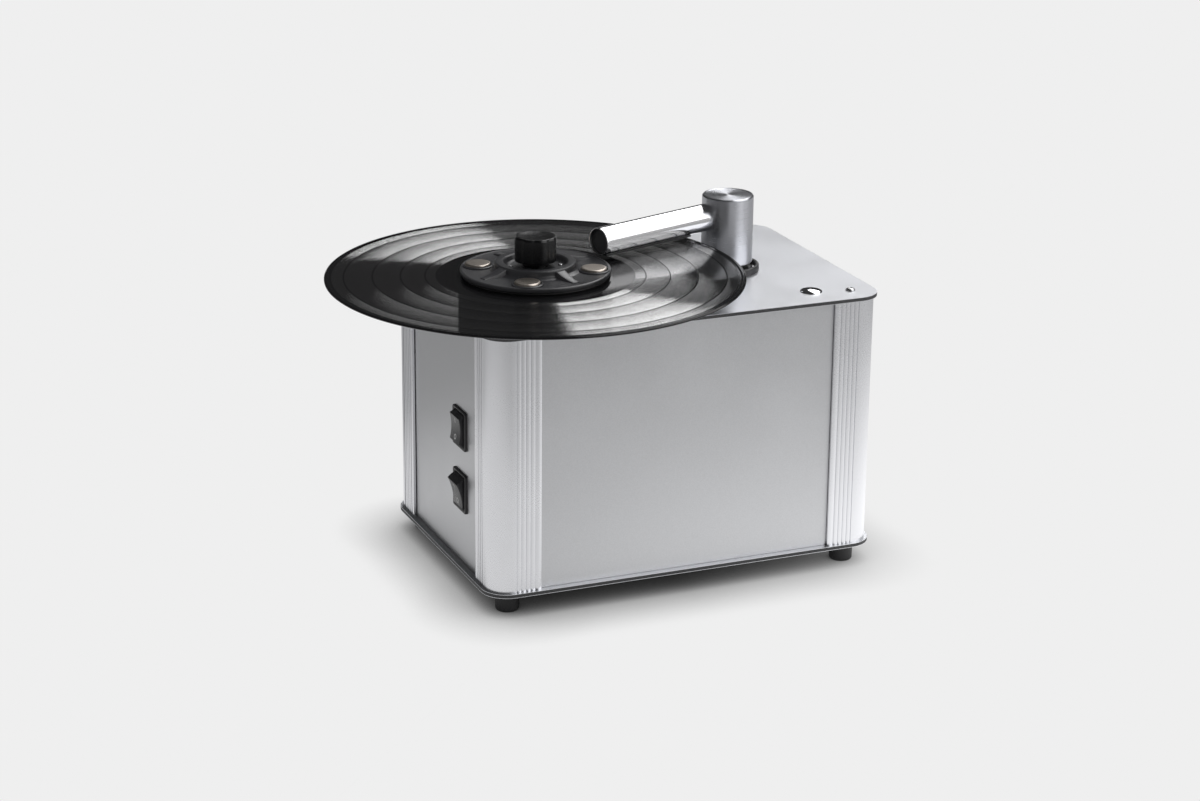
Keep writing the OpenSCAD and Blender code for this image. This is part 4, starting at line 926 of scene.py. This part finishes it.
def make_rocker(mats, name, place, tilt):
    node = name + "_rocker"
    pivot = (place @ Matrix.Translation((0, 0, -PIVOT_DEPTH * MM))
             @ Matrix.Rotation(math.radians(tilt), 4, "X"))
    tip = math.asin(ROCKER_EDGE / ROCKER_R)
    heights = [2 * ROCKER_HALF * (k / DISH_STEPS - 0.5) for k in range(DISH_STEPS + 1)]
    outline = [(h, rocker_face(h)) for h in heights]
    for k in range(1, END_STEPS + 1):
        a = tip * (1 - k / END_STEPS)
        outline.append((ROCKER_R * math.cos(a), ROCKER_R * math.sin(a)))
    outline += [(6, -2.5), (-6, -2.5)]
    for k in range(END_STEPS):
        a = tip * k / END_STEPS
        outline.append((-ROCKER_R * math.cos(a), ROCKER_R * math.sin(a)))
    turn = Matrix(((0, 0, 1), (1, 0, 0), (0, 1, 0))).to_4x4()
    bm = bmesh.new()
    slab(bm, outline, -ROCKER_W, ROCKER_W, 0.45, pivot @ turn)
    pin = [(0, -PIN_REACH), (PIN_R, -PIN_REACH), (PIN_R, PIN_REACH), (0, PIN_REACH)]
    lathe(bm, pin, 24, pivot @ Matrix.Rotation(math.radians(90), 4, "Y"))
    piece(name + "_rocker_cap", bm, [mats["rocker_plastic"]], node_body(node), [node])

    def marked(line, lift):
        return [pivot @ (Vector((u, v, rocker_face(v) + lift)) * MM) for u, v in line]

    bar = [(-0.35, 4.4), (0.35, 4.4), (0.35, 8.0), (-0.35, 8.0)]
    outer, inner = ([(r * math.cos(TAU * k / RING_STEPS), -6.2 + r * math.sin(TAU * k / RING_STEPS))
                     for k in range(RING_STEPS)] for r in (2.0, 1.35))
    bm = bmesh.new()
    loft(bm, [marked(bar, MARK_SUNK), marked(bar, MARK_PROUD)])
    loft(bm, [marked(outer, MARK_SUNK), marked(outer, MARK_PROUD), marked(inner, MARK_PROUD),
              marked(inner, MARK_SUNK)], closed=True)
    piece(name + "_rocker_marks", bm, [mats["mark_ink"]], node_body(node))


# Floor and world: brightness where white is 1, distances in metres

BACKGROUND = 0.863
AMBIENT = 0.60
CEILING = 0.04
HORIZON = (0.0, 0.045)
FLOOR_SIZE = 14
# Painted shadow: the floor's glow is darkened by ambient occlusion close round the machine
SHADOW_REACH = 0.060
SHADOW_DEPTH = 1.6
# Painted pools of light on the floor, seen in metal only: two bright spots beside the machine
SPOT = (0.24, -0.06)
SPOT_REACH = 0.62
SPOT_LEVELS = (1.25, 0.40)
NEAR_SPOT = (-0.30, -0.10)
NEAR_STEP = (0.34, 0.50)
NEAR_LEVELS = (0.74, 0.24)


def floor_paper():
    """White paper, which the eye and metal see as a glow: evenly bright for the eye, and for metal painted
    pools of light at two spots beside the machine; both see a painted shadow close round the machine."""
    m = Mat("floor_paper", (0.80, 0.80, 0.80), 0.0, 0.9)
    m.set("Specular IOR Level", 0.0)
    # Painted shadow from ambient occlusion, fainter towards the machine's right side
    near = m.node("ShaderNodeAmbientOcclusion", samples=24)
    near.inputs["Distance"].default_value = SHADOW_REACH
    depth = m.span(m.split(m.coords())[0], BODY.x, RIGHT_FACE, SHADOW_DEPTH, SHADOW_DEPTH * 0.5)
    shadow = m.math("POWER", near.outputs["AO"], depth)

    def from_spot(spot):
        return m.radius(Vector((BODY.x + spot[0], BODY.y + spot[1], 0)))

    # Painted pools of light, brightest at two spots beside the machine
    painted_pools = m.math("MAXIMUM", m.span(from_spot(SPOT), 0.0, SPOT_REACH, *SPOT_LEVELS),
                   m.span(from_spot(NEAR_SPOT), *NEAR_STEP, *NEAR_LEVELS, smooth=True))
    eye = m.seen_by("Camera")
    level = m.math("ADD", m.math("MULTIPLY", eye, BACKGROUND),
                   m.math("MULTIPLY", m.math("SUBTRACT", 1.0, eye), painted_pools))
    glow = m.node("ShaderNodeEmission")
    m.links.new(m.math("MULTIPLY", level, shadow), glow.inputs["Strength"])
    both = m.node("ShaderNodeMixShader")
    m.links.new(m.seen_by("Camera", "Glossy", "Transmission"), both.inputs[0])
    m.links.new(m.bsdf.outputs[0], both.inputs[1])
    m.links.new(glow.outputs[0], both.inputs[2])
    m.links.new(both.outputs[0], m.nodes["Material Output"].inputs["Surface"])
    return m.mat


def make_floor():
    mesh = bpy.data.meshes.new("floor")
    mesh.from_pydata([(x * FLOOR_SIZE, y * FLOOR_SIZE, 0) for x, y in ((-1, -1), (1, -1), (1, 1), (-1, 1))],
                     [], [(0, 1, 2, 3)])
    floor = add("floor", mesh)
    mesh.materials.append(floor_paper())


def make_world():
    """A plain white background for the eye, soft even light for the object, and for metal and glass a
    wall that is bright low down and dark above the horizon."""
    world = bpy.data.worlds.new("studio")
    bpy.context.scene.world = world
    tree = Tree(world)
    back = tree.nodes["Background"]
    back.inputs["Color"].default_value = (1, 1, 1, 1)

    def choose(factor, a, b):
        n = tree.node("ShaderNodeMix")
        tree.links.new(factor, n.inputs[0])
        tree.feed(n.inputs[2], a)
        tree.feed(n.inputs[3], b)
        return n.outputs[0]

    height = tree.split(tree.node("ShaderNodeTexCoord").outputs["Generated"])[2]
    mirror_wall = tree.span(height, *HORIZON, BACKGROUND, CEILING, smooth=True)
    level = choose(tree.seen_by("Glossy", "Transmission"), AMBIENT, mirror_wall)
    level = choose(tree.seen_by("Camera"), level, BACKGROUND)
    tree.links.new(level, back.inputs["Strength"])


# Lamps: angles in degrees, heights as sines

SUN_AZIMUTH = 40
SUN_ELEVATION = 48.5
SUN_ENERGY = 2.0
SUN_WIDTH = 34
SHEET_DISTANCE = 14
FAN_FROM = Vector((0.352, 0.892))
FAN = (-98, -48)
FAN_NEAR = 0.10
FAN_BREAK = 0.45
FAN_LEAST = 0.6
FAN_STEP = 0.01
FAN_END_HEIGHT = 0.55
FAN_LEVEL = 3.9
FAN_TOP_LEVEL = 1.6
WING = (-72, -12)
WING_HEIGHT = (0.09, 0.56)
WING_LEVEL = 1.6
STRIP = (-58, -44)
STRIP_HEIGHT = (0.02, 0.56)
STRIP_LEVEL = 2.0


def between(ends, steps):
    return [ends[0] + (ends[1] - ends[0]) * k / steps for k in range(steps + 1)]


def skyward(flat):
    return Vector((flat.x, flat.y, math.sqrt(max(0.0, 1 - flat.length_squared))))


def fan_end(out):
    """How far the fan runs on one line, over the top of the sky and down to its end height."""
    far = FAN_BREAK
    while far < FAN_LEAST or skyward(FAN_FROM + out * (far + FAN_STEP)).z > FAN_END_HEIGHT:
        far += FAN_STEP
    return far


def fan_rows(near, far=None):
    """Directions of a sheet on lines that spread from one point; without far it runs to the fan's end."""
    rows = []
    for turn in between(FAN, 10):
        out = Vector((math.cos(math.radians(turn)), math.sin(math.radians(turn))))
        rows.append([skyward(FAN_FROM + out * d) for d in between((near, far or fan_end(out)), 8)])
    return rows


def band_rows(sides, heights):
    """Directions of a sheet between two sides and two heights."""
    rows = []
    for turn in between(sides, 8):
        a = math.radians(turn)
        row = []
        for z in between(heights, 4):
            flat = math.sqrt(1 - z * z)
            row.append(Vector((flat * math.cos(a), flat * math.sin(a), z)))
        rows.append(row)
    return rows


def make_sheet(name, rows, level):
    """A sheet of light, seen in metal and vinyl only; rows of directions, as many in each."""
    centre = Vector((SPINDLE.x, SPINDLE.y, RECORD_TOP))
    wide = len(rows[0])
    faces = [(i * wide + k, i * wide + k + 1, (i + 1) * wide + k + 1, (i + 1) * wide + k)
             for i in range(len(rows) - 1) for k in range(wide - 1)]
    mesh = bpy.data.meshes.new(name)
    mesh.from_pydata([centre + d * SHEET_DISTANCE for row in rows for d in row], [], faces)
    mat = bpy.data.materials.new(name)
    tree = Tree(mat)
    tree.nodes.remove(tree.nodes["Principled BSDF"])
    glow = tree.node("ShaderNodeEmission")
    glow.inputs["Strength"].default_value = level
    tree.links.new(glow.outputs[0], tree.nodes["Material Output"].inputs["Surface"])
    mesh.materials.append(mat)
    sheet = add(name, mesh)
    sheet.visible_camera = sheet.visible_diffuse = sheet.visible_shadow = False


def make_sun():
    """Soft light from up behind the right side, unseen in metal."""
    a, e = math.radians(SUN_AZIMUTH), math.radians(SUN_ELEVATION)
    toward = Vector((math.cos(a) * math.cos(e), math.sin(a) * math.cos(e), math.sin(e)))
    data = bpy.data.lights.new("key_soft", "SUN")
    data.energy = SUN_ENERGY
    data.angle = math.radians(SUN_WIDTH)
    sun = add("key_soft", data)
    sun.rotation_euler = toward.to_track_quat("Z", "Y").to_euler()
    sun.visible_glossy = False


def make_lights():
    """A sun lights the object, and metal and vinyl mirror four sheets of light. Two of them are a fan,
    brighter near than far, which opens from the point of the sky that the deck mirrors to the eye. A wing
    and a strip stand lower at the front right."""
    make_sun()
    make_sheet("softbox_fan", fan_rows(FAN_NEAR, FAN_BREAK), FAN_LEVEL)
    make_sheet("softbox_top", fan_rows(FAN_BREAK), FAN_TOP_LEVEL)
    make_sheet("softbox_wing", band_rows(WING, WING_HEIGHT), WING_LEVEL)
    make_sheet("softbox_strip", band_rows(STRIP, STRIP_HEIGHT), STRIP_LEVEL)


# Assembly

def paint_nodes(mats):
    for part in frame["record"]["subparts"]:
        materials = frame["nodes"][part["node"]].data.materials
        materials.clear()
        materials.append(mats[part["material_slot"]].mat)


def main():
    bpy.context.scene.view_settings.view_transform = "Standard"
    make_camera()
    make_floor()
    make_world()
    make_lights()
    mats = make_materials()
    paint_nodes(mats)
    for make in (make_record, make_clamp, make_arm, make_collar, make_hardware, make_switches):
        make(mats)


main()
